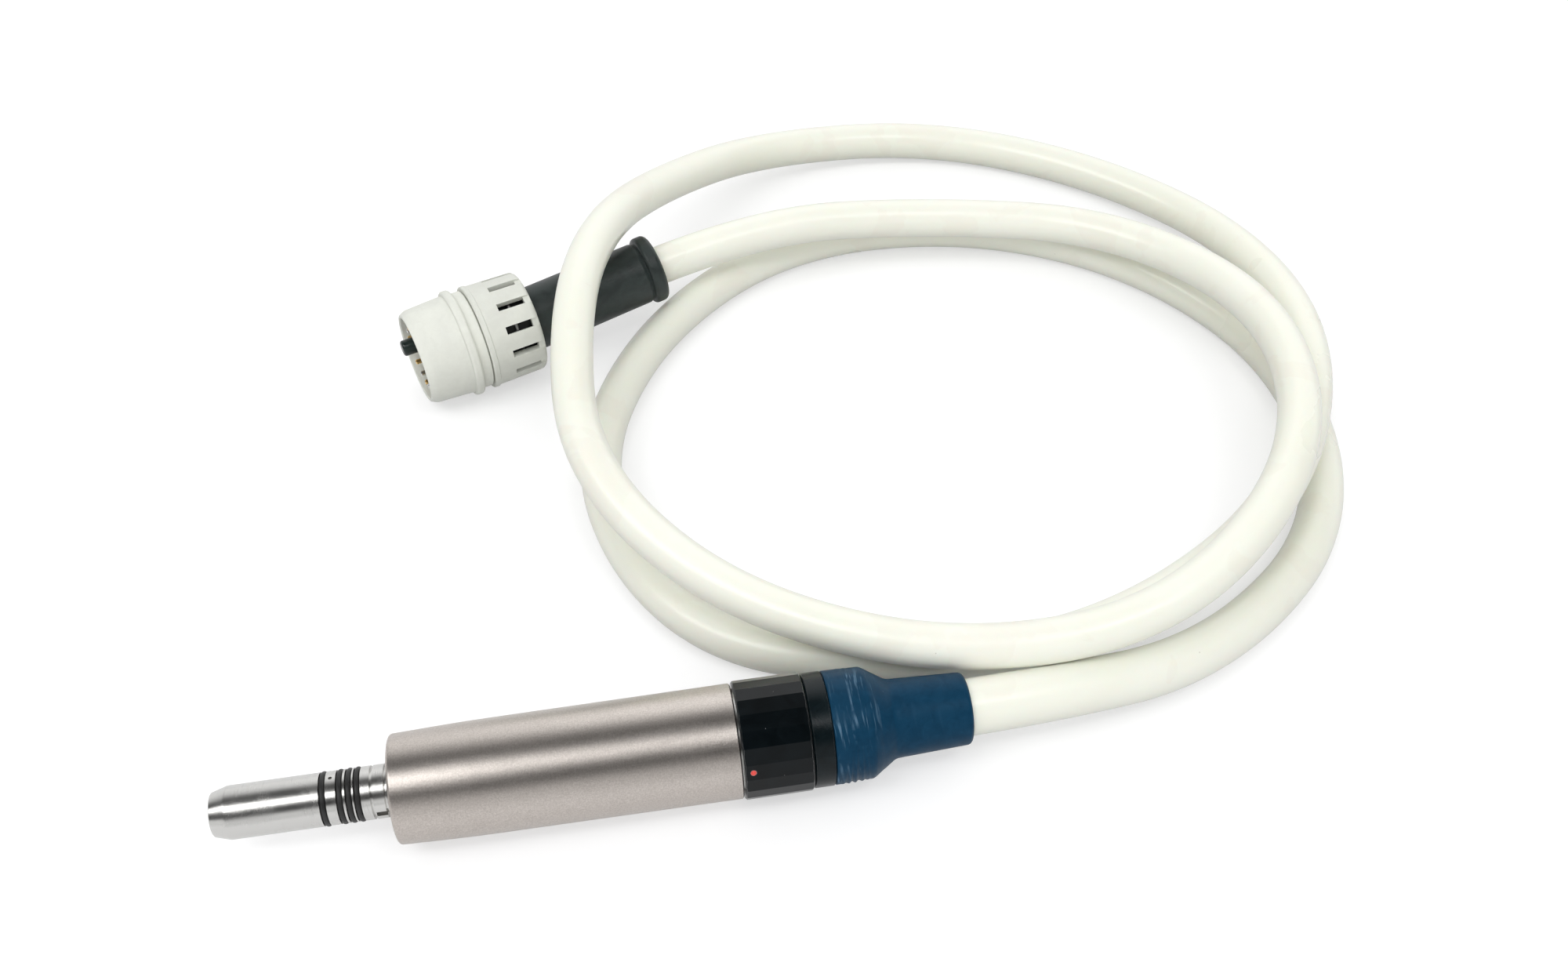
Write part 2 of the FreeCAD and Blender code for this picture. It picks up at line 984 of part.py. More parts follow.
def contact_azimuths():
    """Places of the small contacts: evenly spread, the first beside the key post."""
    return spread(contact_count, post_azimuth + 180.0 / contact_count)


def peg(length, radius, edge, circle, azimuth):
    """Round peg that stands on the contact block with a softened tip."""
    tip = -contact_face - length
    shape = turned([(tip, 0), (tip, radius, edge), (-contact_face, radius), (-contact_face, 0)])
    shape.translate(around(circle, azimuth))
    return shape


def contact_pin(azimuth):
    return peg(contact_length, contact_radius, contact_edge, contact_circle, azimuth)


def gold_contacts():
    return Part.makeCompound([contact_pin(azimuth) for azimuth in contact_azimuths()[0::2]])


def silver_contacts():
    pins = [contact_pin(azimuth) for azimuth in contact_azimuths()[1::2]]
    nozzles = [
        peg(nozzle_length, nozzle_radius, contact_edge, nozzle_circle, azimuth)
        for azimuth in nozzle_azimuths
    ]
    return Part.makeCompound(pins + nozzles)


def key_post():
    length = shell_mouth + post_proud - contact_face
    return peg(length, post_radius, post_round, post_circle, post_azimuth)


def locking_ring():
    front = shell_rear + lock_gap
    flange = front + lock_flange_length
    bore = core_radius + lock_play
    lip = core_rear + lock_turn_play
    body = turned(
        [
            (front, bore),
            (front, lock_flange_radius, lock_edge),
            (flange, lock_flange_radius, lock_edge),
            (flange, lock_front_radius),
            (lock_rear, lock_rear_radius, lock_rear_round),
            (lock_rear, lock_lip_radius),
            (lip, lock_lip_radius),
            (lip, bore),
        ]
    )
    far = lock_flange_radius + overshoot
    cutters = []
    for azimuth in spread(slot_count, slot_phase):
        window = radial_slot(slot_front, slot_rear, slot_width, core_waist_radius, far, azimuth)
        groove_bottom = lock_rear_radius - slot_groove_depth
        groove = radial_slot(
            slot_rear, lock_rear + overshoot, slot_width, groove_bottom, far, azimuth
        )
        cutters += [window, groove]
    return body.cut(cutters)


def plug_core():
    front = -contact_face + contact_block_length + block_gap
    step = shell_rear + lock_gap
    waist_front = slot_front - core_waist_margin
    waist_rear = slot_rear + core_waist_margin / 2
    return turned(
        [
            (front, 0),
            (front, shell_bore_radius),
            (step, shell_bore_radius),
            (step, core_radius),
            (waist_front, core_radius),
            (waist_front, core_waist_radius),
            (waist_rear, core_waist_radius),
            (waist_rear, core_radius),
            (core_rear, core_radius, lock_edge),
            (core_rear, relief_root_radius),
            (relief_root_front, relief_root_radius),
            (relief_root_front, 0),
        ]
    )


def snap_ring():
    middle = core_waist_radius + snap_wire_radius + snap_play
    section = Part.makeCircle(snap_wire_radius, Vector(snap_station, 0, middle), Vector(0, 1, 0))
    face = Part.Face(Part.Wire(section))
    return face.revolve(Vector(0, 0, 0), Vector(1, 0, 0), 360 - snap_gap)


def strain_relief():
    bend = Vector(relief_bend_station, 0, 0)
    root = rod(relief_root_front, relief_bend_station, relief_root_radius)
    behind = rod(
        relief_bend_station - overshoot,
        relief_bend_station + relief_root_radius,
        2 * relief_root_radius,
    )
    elbow = Part.makeSphere(relief_root_radius, bend).common(behind)
    bead_front = relief_length - relief_bead_length
    waist = relief_end_radius - relief_waist
    sleeve = turned(
        [
            (0, 0),
            (0, relief_root_radius),
            (bead_front - relief_groove_length, relief_end_radius),
            (bead_front, waist),
            (bead_front, relief_bead_radius, relief_bead_round),
            (relief_length, relief_bead_radius, relief_bead_round),
            (relief_length, 0),
        ]
    )
    sleeve = sleeve.transformed(relief_place.toMatrix())
    hole = rod(relief_length - hose_inset, relief_length + overshoot, hose_radius)
    hole = hole.transformed(relief_place.toMatrix())
    return root.fuse([elbow, sleeve]).removeSplitter().cut(hole)


def hose_points():
    """Route of the hose's middle line, with straight stretches at both ends."""
    start = motor_place.multVec(Vector(hose_start, 0, 0))
    leaving = start + Vector(hose_motor_run, 0, 0)
    to_plug = plug_place.multiply(relief_place)
    end = to_plug.multVec(Vector(relief_length - hose_inset, 0, 0))
    arriving = to_plug.multVec(Vector(relief_length - hose_inset + hose_plug_run, 0, 0))
    return [start, leaving] + [Vector(*point) for point in hose_route] + [arriving, end]


def hose_path(points):
    """Straight runs joined by tangent arcs, each as large as its two runs allow."""
    edges = []
    radii = []
    start = points[0]
    for before, corner, after in zip(points, points[1:], points[2:]):
        back = before - corner
        ahead = after - corner
        reach = arc_share * min(back.Length, ahead.Length)
        back.normalize()
        ahead.normalize()
        half_turn = (math.pi - back.getAngle(ahead)) / 2
        radius = reach / math.tan(half_turn)
        inward = (back + ahead).normalize()
        middle = corner + inward * (math.hypot(radius, reach) - radius)
        first = corner + back * reach
        last = corner + ahead * reach
        edges.append(Part.LineSegment(start, first).toShape())
        edges.append(Part.Arc(first, middle, last).toShape())
        radii.append(radius)
        start = last
    edges.append(Part.LineSegment(start, points[-1]).toShape())
    return edges, radii


def hose_section(point, direction, radius):
    return Part.Wire(Part.makeCircle(radius, point, direction))


def hose():
    points = hose_points()
    edges, radii = hose_path(points)
    print("hose bend radii", [round(radius) for radius in radii])
    taper_edges = 2 * hose_taper_runs
    straight = edges[0]
    taper = edges[1:taper_edges]
    rest = edges[taper_edges:]
    direction = points[1] - points[0]
    lead = Part.makeCylinder(hose_end_radius, straight.Length, points[0], direction)
    joint = taper[-1]
    start = taper[0].valueAt(taper[0].FirstParameter)
    end = joint.valueAt(joint.LastParameter)
    end_direction = joint.tangentAt(joint.LastParameter)
    shell = Part.BRepOffsetAPI.MakePipeShell(Part.Wire(taper))
    shell.add(hose_section(start, direction, hose_end_radius))
    shell.add(hose_section(end, end_direction, hose_radius))
    shell.build()
    shell.makeSolid()
    cone = shell.shape()
    section = hose_section(end, end_direction, hose_radius)
    run = Part.Wire(rest).makePipeShell([section], True, False)
    solid = run.fuse([cone, lead])
    length = sum(edge.Length for edge in edges)
    taper_length = sum(edge.Length for edge in taper)
    mean = (hose_radius**2 + hose_radius * hose_end_radius + hose_end_radius**2) / 3
    expected = math.pi * (
        hose_end_radius**2 * straight.Length
        + mean * taper_length
        + hose_radius**2 * sum(edge.Length for edge in rest)
    )
    print("hose length", round(length, 1), "volume", round(solid.Volume), "expected", round(expected))
    return solid


def motor_pieces():
    pieces = {
        "coupling_spigot": coupling_spigot(),
        "body_sleeve": body_sleeve(),
        "bayonet_sleeve": bayonet_sleeve(),
        "union_ring": union_ring(),
        "index_dot": index_dot(),
        "collar_ring": collar_ring(),
        "boot": boot(),
        "hose_connector": hose_connector(),
        "face_seal": face_seal(),
        "hose_ferrule": hose_ferrule(),
        "rotor_shaft": rotor_shaft(),
        "dog_pin": dog_pin(),
        "drive_dog": drive_dog(),
        "dog_spring": dog_spring(),
        "spring_collar": spring_collar(),
        "rotor_magnet": rotor_magnet(),
        "magnet_band": magnet_band(),
        "front_balance_ring": front_balance_ring(),
        "rear_balance_ring": rear_balance_ring(),
        "stator_winding": stator_winding(),
        "stator_core": stator_core(),
        "sensor_board": sensor_board(),
        "hall_sensors": hall_sensors(),
        "rear_bearing_carrier": rear_bearing_carrier(),
        "preload_washer": preload_washer(),
        "terminal_block": terminal_block(),
        "motor_pins": motor_pins(),
    }
    for number, station in enumerate(seal_stations, 1):
        pieces[f"seal_ring_{number}"] = seal_ring(station)
    for end, front in (("front", front_bearing), ("rear", rear_bearing)):
        pieces[f"{end}_bearing_outer_race"] = outer_race(front)
        pieces[f"{end}_bearing_inner_race"] = inner_race(front)
        pieces[f"{end}_bearing_balls"] = bearing_balls(front)
        pieces[f"{end}_bearing_cage"] = bearing_cage(front)
    pieces["water_tube"] = small_tube(water_azimuth)
    pieces["spray_air_tube"] = small_tube(air_azimuth)
    return pieces


def plug_pieces():
    return {
        "plug_shell": plug_shell(),
        "contact_block": contact_block(),
        "gold_contacts": gold_contacts(),
        "silver_contacts": silver_contacts(),
        "key_post": key_post(),
        "locking_ring": locking_ring(),
        "plug_core": plug_core(),
        "snap_ring": snap_ring(),
        "strain_relief": strain_relief(),
    }


def main():
    os.makedirs("parts", exist_ok=True)
    placed = {}
    for name, shape in motor_pieces().items():
        placed[name] = shape.transformed(motor_place.toMatrix())
    for name, shape in plug_pieces().items():
        placed[name] = shape.transformed(plug_place.toMatrix())
    placed["hose"] = hose()
    for name, shape in placed.items():
        shape.exportStep(f"parts/{name}.step")
    print(len(placed), "sub-parts written")


main()
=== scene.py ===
import math

import bmesh
import bpy
from mathutils import Matrix, Vector


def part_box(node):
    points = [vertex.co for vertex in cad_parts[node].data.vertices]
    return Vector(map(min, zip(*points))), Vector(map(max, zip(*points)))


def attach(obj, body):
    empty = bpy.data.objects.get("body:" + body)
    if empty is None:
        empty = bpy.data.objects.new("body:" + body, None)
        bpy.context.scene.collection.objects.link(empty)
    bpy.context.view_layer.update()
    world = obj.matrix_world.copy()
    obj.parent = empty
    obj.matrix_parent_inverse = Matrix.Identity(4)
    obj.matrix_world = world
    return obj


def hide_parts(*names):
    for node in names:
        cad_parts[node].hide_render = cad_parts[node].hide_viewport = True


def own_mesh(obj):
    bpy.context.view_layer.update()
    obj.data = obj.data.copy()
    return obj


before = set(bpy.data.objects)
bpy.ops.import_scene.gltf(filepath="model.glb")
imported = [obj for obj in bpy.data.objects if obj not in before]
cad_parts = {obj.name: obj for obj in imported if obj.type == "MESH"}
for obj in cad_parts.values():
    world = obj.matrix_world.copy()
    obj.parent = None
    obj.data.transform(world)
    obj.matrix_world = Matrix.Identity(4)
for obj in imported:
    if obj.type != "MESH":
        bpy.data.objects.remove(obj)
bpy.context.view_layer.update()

# Lengths here are in millimetres unless a name says metres. The frame is in metres.
MM = 0.001
mm_per_metre = 1000.0

# Places shared with the solids
motor_length = 142.55
axis_height = 11.2
ridge_place = (-21.6, 115.3, 12.6)
plug_yaw = 18.0
sleeve_bend = 18.0
sleeve_lift = 5.5

# Hose
hose_radius = 4.6
hose_end_radius = 5.6
hose_route = [
    (58.825, 0.0, 11.2),
    (84.025, 0.0, 11.2),
    (126.0, 7.0, 5.3),
    (163.5, 36.5, 4.65),
    (171.7, 84.0, 4.65),
    (147.3, 125.1, 4.65),
    (106.0, 147.0, 4.65),
    (58.5, 146.8, 4.65),
    (20.5, 118.2, 4.65),
    (2.3, 75.0, 4.65),
    (20.3, 28.6, 4.65),
    (63.5, 15.2, 4.65),
    (109.0, 16.6, 5.6),
    (150.5, 36.6, 14.6),
    (173.6, 78.5, 15.2),
    (174.0, 125.0, 7.2),
    (145.0, 162.0, 4.65),
    (104.0, 183.2, 4.65),
    (58.0, 181.2, 7.6),
    (29.5, 156.0, 20.0),
    (13.0, 129.0, 31.5),
    (4.2, 100.0, 33.0),
    (2.2, 64.5, 22.0),
    (27.5, 30.5, 15.5),
    (71.0, 9.0, 14.8),
    (117.0, 9.0, 19.4),
    (153.5, 39.5, 27.0),
    (163.6, 86.0, 23.0),
    (140.0, 128.0, 14.6),
    (95.0, 141.0, 13.4),
    (50.43, 138.7, 18.16),
    (20.13, 128.86, 15.09),
]

# Radii at the first points of the route, where the hose leaves the motor
hose_taper = [hose_end_radius, hose_end_radius, 5.15, 4.7]

# Spring of the drive dog
spring_wire_radius = 0.25
spring_coil_radius = 2.05
spring_turns = 5

# Fineness of the skins
sharp_angle = 50.0
corner_parts = 10
boot_step = 0.22
boot_sides = 240
sleeve_step = 0.5
sleeve_sides = 200
wire_sides = 12
steps_per_turn = 40

# Camera, from the photograph's perspective
camera_place = (9.15, -159.96, 277.06)
camera_heading = (0.1624, 0.9867)
camera_pitch = 50.0
camera_lens = 36.9
sensor_width = 36.0
camera_near_metres = 0.01

# Ends of the body sleeve, and how far wear reaches from them
body_front = 33.1
body_rear = 97.5
body_end_wear = 0.5

# Outlines of the soft pieces: corners are (station, radius) or (station, radius, rounding)
boot_outline = [
    (115.15, 8.3),
    (115.15, 10.95, 0.3),
    (122.65, 10.78, 1.6),
    (127.45, 7.65, 2.6),
    (142.55, 7.0, 0.9),
    (142.55, 5.6),
    (134.65, 5.6),
    (134.65, 6.05),
    (127.75, 6.05),
    (123.05, 8.3),
]
sleeve_outline = [
    (-4.7, 0.0),
    (-4.7, 7.5),
    (27.5, 7.35, 0.3),
    (28.4, 7.0, 0.15),
    (28.5, 8.15, 1.0),
    (32.0, 8.15, 1.25),
    (32.0, 4.62, 0.3),
    (26.0, 4.62),
    (26.0, 0.0),
]
sleeve_bend_run = 5.0

# Creases of the boot: station, depth, width, middle azimuth and spread of azimuth
boot_creases = [
    (117.4, 0.12, 0.30, 200.0, 50.0),
    (118.5, 0.24, 0.32, 205.0, 55.0),
    (119.6, 0.28, 0.36, 198.0, 60.0),
    (120.7, 0.18, 0.30, 190.0, 60.0),
    (121.6, 0.10, 0.30, 150.0, 80.0),
    (119.2, 0.05, 0.40, 60.0, 60.0),
    (120.4, 0.06, 0.35, 45.0, 50.0),
    (124.4, 0.05, 0.50, 120.0, 90.0),
    (129.2, 0.06, 0.70, 140.0, 70.0),
]
crease_drift = 0.25
crease_lip = 0.55
crease_lip_shift = 1.6

# The boot's bore stays plain: it lies inside this radius and before this station
boot_bore_limit = 7.0
boot_mouth = 142.0

# Unevenness of the skins: depth, middle and width along the piece
boot_slack = (0.03, 121.0, 4.0)
sleeve_slack = (0.02, 14.0, 9.0)
sleeve_bore_limit = 6.0

# Rubs on the boot fade out between these two places along the motor, from its middle
rub_fade_start = 50.5
rub_fade_end = 54.5

# Bounce of the surroundings as seen in the metal: angle from behind over the top, level on the spigot's
# side and level on the hose's side
surround_levels = [
    (0.0, 0.95, 0.88),
    (16.0, 0.86, 1.25),
    (28.0, 0.7, 1.4),
    (42.0, 0.5, 1.2),
    (53.0, 0.16, 0.6),
    (62.0, 0.08, 0.12),
    (76.0, 0.08, 0.04),
    (92.0, 0.14, 0.14),
    (99.0, 0.3, 0.3),
    (107.0, 0.6, 0.42),
    (115.0, 0.3, 0.3),
    (123.0, 0.12, 0.1),
    (136.0, 0.03, 0.02),
    (147.0, 0.06, 0.05),
    (156.0, 0.8, 0.6),
    (166.0, 0.9, 0.7),
    (180.0, 0.66, 0.6),
]
surround_turn = (-0.22, -0.1)

# Depths of relief in metres, and the scale of patches in cells to the metre
grain_height_metres = 0.0001
turning_height_metres = 0.00005
turning_wobble_metres = 0.00004
turning_wobble_scale = 300.0
wear_patch_scale = 900.0

# Scratches: slant along the piece, level that the noise has to pass, and crispness
scratch_slant = 0.12
scratch_level = 0.82
scratch_crispness = 12.0

# Worn edges: gain from the turn of the surface, and crispness
wear_gain = 6.0
wear_crispness = 2.0

# Share of a spoke above which a skin counts as turned about the motor's axis
round_share = 0.97

# Floor, with its extra brightness as the camera and the metal see it. Further out, the camera's share
# grows to 1
floor_half_metres = 2.0
floor_drop_metres = 0.00005
floor_color = (0.56, 0.56, 0.564)
direct_glow = 0.48
mirrored_glow = 0.22
glow_near_metres = 0.3
glow_far_metres = 1.2

# Lamps: name, place in metres, tilt about X, turn about Z, two sides in metres, watts, and whether it shows
# in reflections
lamps = [
    ("key softbox", (-0.8, -0.2, 1.15), 14.0, -16.0, 1.22, 0.44, 6.4, True),
    ("strip softbox", (0.36, -0.35, 1.15), 17.0, 0.0, 0.42, 0.18, 1.5, True),
    ("fill", (0.1, 0.4, 1.5), -15.0, 0.0, 2.4, 2.2, 13.6, False),
    ("front fill", (0.1, -1.1, 0.95), 51.0, 0.0, 2.4, 1.4, 11.5, False),
]

# Colours, as levels of red, green and blue light
scratch_grey = (0.25, 0.24, 0.23)
dust_grey = (0.3, 0.3, 0.3)
bare_metal = (0.62, 0.62, 0.62)
champagne = [(0.12, (0.51, 0.465, 0.43)), (0.27, (0.62, 0.57, 0.53)), (0.42, (0.72, 0.67, 0.63))]
champagne_smudged = (0.4, 0.36, 0.33)
champagne_marked = (0.35, 0.31, 0.28)
champagne_worn = (0.82, 0.79, 0.76)
boot_blues = ((0.0008, 0.022, 0.053), (0.003, 0.036, 0.078))
boot_cloud = (0.01, 0.06, 0.12)
boot_rubbed = (0.13, 0.23, 0.33)
boot_dust = (0.18, 0.25, 0.33)
hose_creams = ((0.825, 0.835, 0.73), (0.86, 0.87, 0.785))
hose_stain = (0.66, 0.5, 0.42)
hose_dirt = (0.33, 0.3, 0.24)
plug_greys = ((0.69, 0.705, 0.65), (0.75, 0.765, 0.7))
plug_grime = (0.4, 0.36, 0.3)
plug_worn = (0.82, 0.84, 0.8)
plug_speck = (0.25, 0.23, 0.2)
plastic_dust = (0.25, 0.25, 0.25)
plastic_worn = (0.1, 0.1, 0.1)


motor_matrix = Matrix.Translation((-motor_length / 2, 0, axis_height))
plug_matrix = Matrix.Translation(ridge_place) @ Matrix.Rotation(math.radians(plug_yaw), 4, "Z")


def rounded(corners, step):
    """Points of an open outline whose corners may be rounded, at most about a step apart."""
    places = [Vector(corner[:2]) for corner in corners]
    points = [places[0]]
    for i in range(1, len(corners)):
        here = places[i]
        rounding = corners[i][2] if len(corners[i]) > 2 else 0.0
        bend = [here]
        if rounding:
            back = (places[i - 1] - here).normalized()
            ahead = (places[i + 1] - here).normalized()
            half = back.angle(ahead) / 2
            reach = rounding / math.tan(half)
            middle = here + (back + ahead).normalized() * (rounding / math.sin(half))
            first = here + back * reach - middle
            last = here + ahead * reach - middle
            shares = [j / corner_parts for j in range(corner_parts + 1)]
            bend = [middle + first.lerp(last, share).normalized() * rounding for share in shares]
        run = bend[0] - points[-1]
        count = max(1, math.ceil(run.length / step))
        points += [points[-1] + run * (j / count) for j in range(1, count)]
        points += bend
    return points


def finish_skin(name, made):
    """Object of a finished skin, smooth except at its sharp edges."""
    bmesh.ops.recalc_face_normals(made, faces=made.faces)
    mesh = bpy.data.meshes.new(name)
    made.to_mesh(mesh)
    made.free()
    mesh.shade_smooth()
    mesh.set_sharp_from_angle(angle=math.radians(sharp_angle))
    piece = bpy.data.objects.new(name, mesh)
    bpy.context.scene.collection.objects.link(piece)
    return piece


def lathe(name, outline, parts, place, swell=None, closed=False):
    """Skin turned about the X axis from an outline. Swell adds to the radius at a station and azimuth."""
    made = bmesh.new()
    rings = []
    for station, radius in outline:
        ring = []
        for k in range(parts if radius > 0 else 1):
            azimuth = 2 * math.pi * k / parts
            reach = radius + (swell(station, math.degrees(azimuth), radius) if swell else 0.0)
            point = Vector((station, reach * math.cos(azimuth), reach * math.sin(azimuth)))
            ring.append(made.verts.new(place(point) * MM))
        rings.append(ring)
    pairs = list(zip(rings, rings[1:])) + ([(rings[-1], rings[0])] if closed else [])
    for first, second in pairs:
        for k in range(parts):
            corners = [
                first[k % len(first)],
                first[(k + 1) % len(first)],
                second[(k + 1) % len(second)],
                second[k % len(second)],
            ]
            made.faces.new(list(dict.fromkeys(corners)))
    return finish_skin(name, made)


# Soft pieces and the spring
def bump_at(value, middle, width):
    """Smooth hump of height 1 at the middle."""
    return math.exp(-(((value - middle) / width) ** 2))


def wave(azimuth, crests, twist, station):
    """Wave round a piece. It twists along the piece by so many degrees in a millimetre."""
    return math.sin(math.radians(crests * azimuth + twist * station))


def uneven(slack, station, height):
    """A wave of the given height, where the skin is slack."""
    depth, middle, width = slack
    return depth * height * bump_at(station, middle, width)


def boot_swell(station, azimuth, radius):
    """Creases that the silicone has taken, mostly on its underside and beside the shoulder."""
    if radius < boot_bore_limit and station < boot_mouth:
        return 0.0
    total = 0.0
    for middle, depth, width, heading, spread in boot_creases:
        away = (azimuth - heading + 180.0) % 360.0 - 180.0
        here = depth * bump_at(away, 0.0, spread)
        line = middle + crease_drift * wave(azimuth, 3.0, 40.0, middle)
        total -= here * bump_at(station, line, width)
        total += crease_lip * here * bump_at(station, line - crease_lip_shift * width, width)
    return total + uneven(boot_slack, station, wave(azimuth, 2.0, 25.0, station))


def make_boot():
    """Boot with its creases, in place of the plain solid."""
    boot = lathe(
        "boot_skin",
        rounded(boot_outline, boot_step),
        boot_sides,
        lambda point: motor_matrix @ point,
        boot_swell,
        closed=True,
    )
    boot.data.materials.append(boot_silicone())
    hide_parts("boot")
    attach(boot, "motor")


def bent_place(point):
    """Place on the plug's sleeve, whose axis bends upwards in a short smooth run."""
    half = sleeve_bend_run / 2
    share = min(1.0, max(0.0, (point.x + half) / sleeve_bend_run))
    turn = math.radians(sleeve_lift) * share * share * (3 - 2 * share)
    lift = math.radians(sleeve_lift)
    if point.x > half:
        axis = Vector((point.x * math.cos(lift), 0, point.x * math.sin(lift)))
    elif point.x < -half:
        axis = Vector((point.x, 0, 0))
    else:
        rise = lift * sleeve_bend_run * (share**3 - 0.5 * share**4)
        axis = Vector((point.x, 0, rise))
    across = Vector((-point.z * math.sin(turn), point.y, point.z * math.cos(turn)))
    return plug_matrix @ (Vector((sleeve_bend, 0, 0)) + axis + across)


def sleeve_swell(station, azimuth, radius):
    """The moulded sleeve isn't quite even."""
    if radius < sleeve_bore_limit:
        return 0.0
    return uneven(sleeve_slack, station, wave(azimuth, 2.0, 9.0, station))


def make_sleeve():
    """Strain relief of the plug, with its end bead and its bend."""
    outline = rounded(sleeve_outline, sleeve_step)
    sleeve = lathe("sleeve_skin", outline, sleeve_sides, bent_place, sleeve_swell)
    black = black_plastic("sleeve black rubber", (0.015, 0.021, 0.02), 0.4, 0.22, 0.35)
    sleeve.data.materials.append(black)
    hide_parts("strain_relief")
    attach(sleeve, "motor")
    return sleeve


def make_spring(material):
    """Coil spring of the drive dog, wound evenly over the length of its solid. The spring shortens towards
    its rear end as the dog slides back, but this coil is built at one length only.
    """
    low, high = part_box("dog_spring")
    front = low[0] / MM + spring_wire_radius
    rear = high[0] / MM - spring_wire_radius
    steps = spring_turns * steps_per_turn
    made = bmesh.new()
    rings = []
    for i in range(steps + 1):
        share = i / steps
        turn = 2 * math.pi * spring_turns * share
        spoke = Vector((0, math.sin(turn), -math.cos(turn)))
        ring = []
        for k in range(wire_sides):
            angle = 2 * math.pi * k / wire_sides
            reach = spring_coil_radius + spring_wire_radius * math.cos(angle)
            along = front + (rear - front) * share + spring_wire_radius * math.sin(angle)
            ring.append(made.verts.new((Vector((along, 0, axis_height)) + spoke * reach) * MM))
        rings.append(ring)
    for first, second in zip(rings, rings[1:]):
        for k in range(wire_sides):
            after = (k + 1) % wire_sides
            made.faces.new([first[k], first[after], second[after], second[k]])
    made.faces.new(rings[0])
    made.faces.new(rings[-1])
    spring = finish_skin("spring_coil", made)
    spring.data.materials.append(material)
    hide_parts("dog_spring")
    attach(spring, "rotor")
    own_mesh(spring)


# Camera
def make_camera():
    """Camera at the photograph's viewing angle."""
    data = bpy.data.cameras.new("camera")
    data.lens = camera_lens
    data.sensor_width = sensor_width
    data.sensor_fit = "HORIZONTAL"
    data.clip_start = camera_near_metres
    camera = bpy.data.objects.new("camera", data)
    camera.location = Vector(camera_place) * MM
    pitch = math.radians(camera_pitch)
    heading = Vector((*camera_heading, 0)).normalized()
    look = heading * math.cos(pitch) + Vector((0, 0, -math.sin(pitch)))
    camera.rotation_euler = look.to_track_quat("-Z", "Y").to_euler()
    bpy.context.scene.collection.objects.link(camera)
    bpy.context.scene.camera = camera


# Node helpers
def add(tree, kind, options=None, inputs=None):
    """Add a shader node. An input is a value or the output socket of another node."""
    made = tree.nodes.new("ShaderNode" + kind)
    for name, value in (options or {}).items():
        setattr(made, name, value)
    for name, value in (inputs or {}).items():
        if isinstance(value, bpy.types.NodeSocket):
            tree.links.new(value, made.inputs[name])
        else:
            made.inputs[name].default_value = value
    return made


def ramp(tree, factor, stops):
    """Colour ramp from grey levels or colours at positions."""
    made = add(tree, "ValToRGB", inputs={"Fac": factor})
    elements = made.color_ramp.elements
    while len(elements) < len(stops):
        elements.new(0.5)
    for element, (position, value) in zip(elements, stops):
        element.position = position
        element.color = (value, value, value, 1) if isinstance(value, (int, float)) else (*value, 1)
    return made.outputs["Color"]


def math_node(tree, operation, first, second=0.0):
    """Output of a maths node on two values."""
    return add(tree, "Math", {"operation": operation}, {0: first, 1: second}).outputs[0]


def blend_colors(tree, factor, first, second):
    """Colour between two colours. Each of the three is a value or an output."""
    made = add(tree, "Mix", {"data_type": "RGBA"})
    for socket, value in ((made.inputs[0], factor), (made.inputs[6], first), (made.inputs[7], second)):
        if isinstance(value, bpy.types.NodeSocket):
            tree.links.new(value, socket)
        elif isinstance(value, (int, float)):
            socket.default_value = value
        else:
            socket.default_value = (*value, 1)
    return made.outputs[2]


def remap(tree, value, low, high):
    """Stretch a 0 to 1 value to a range."""
    made = add(tree, "MapRange", inputs={"Value": value, "To Min": low, "To Max": high})
    return made.outputs["Result"]


def start_group(name, inputs, outputs):
    """Empty shader group with named sockets. Returns its tree, its inputs and its output node."""
    tree = bpy.data.node_groups.new(name, "ShaderNodeTree")
    for label, kind, default in inputs:
        socket = tree.interface.new_socket(label, in_out="INPUT", socket_type="NodeSocket" + kind)
        if default is not None:
            socket.default_value = default
    for label, kind in outputs:
        tree.interface.new_socket(label, in_out="OUTPUT", socket_type="NodeSocket" + kind)
    entry = tree.nodes.new("NodeGroupInput")
    leave = tree.nodes.new("NodeGroupOutput")
    return tree, entry.outputs, leave


def use_group(tree, group, inputs):
    """Put a shared effect into a tree and return its outputs by name."""
    made = tree.nodes.new("ShaderNodeGroup")
    made.node_tree = group
    for name, value in inputs.items():
        if isinstance(value, bpy.types.NodeSocket):
            tree.links.new(value, made.inputs[name])
        else:
            made.inputs[name].default_value = value
    return made.outputs


# Surface effects that several finishes share
def grain_group():
    """Fine even grain, as on blasted metal or moulded plastic: Size is the grain in millimetres."""
    tree, given, leave = start_group(
        "surface grain",
        [
            ("Place", "Vector", None),
            ("Size", "Float", 0.1),
            ("Depth", "Float", 0.1),
            ("Normal", "Vector", None),
        ],
        [("Mask", "Float"), ("Normal", "Vector")],
    )
    scale = math_node(tree, "DIVIDE", mm_per_metre, given["Size"])
    noise = add(
        tree, "TexNoise", inputs={"Vector": given["Place"], "Scale": scale, "Detail": 2.0, "Roughness": 0.6}
    )
    bump = add(
        tree,
        "Bump",
        inputs={
            "Strength": given["Depth"],
            "Distance": grain_height_metres,
            "Height": noise.outputs["Fac"],
        },
    )
    tree.links.new(given["Normal"], bump.inputs["Normal"])
    tree.links.new(noise.outputs["Fac"], leave.inputs["Mask"])
    tree.links.new(bump.outputs["Normal"], leave.inputs["Normal"])
    return tree


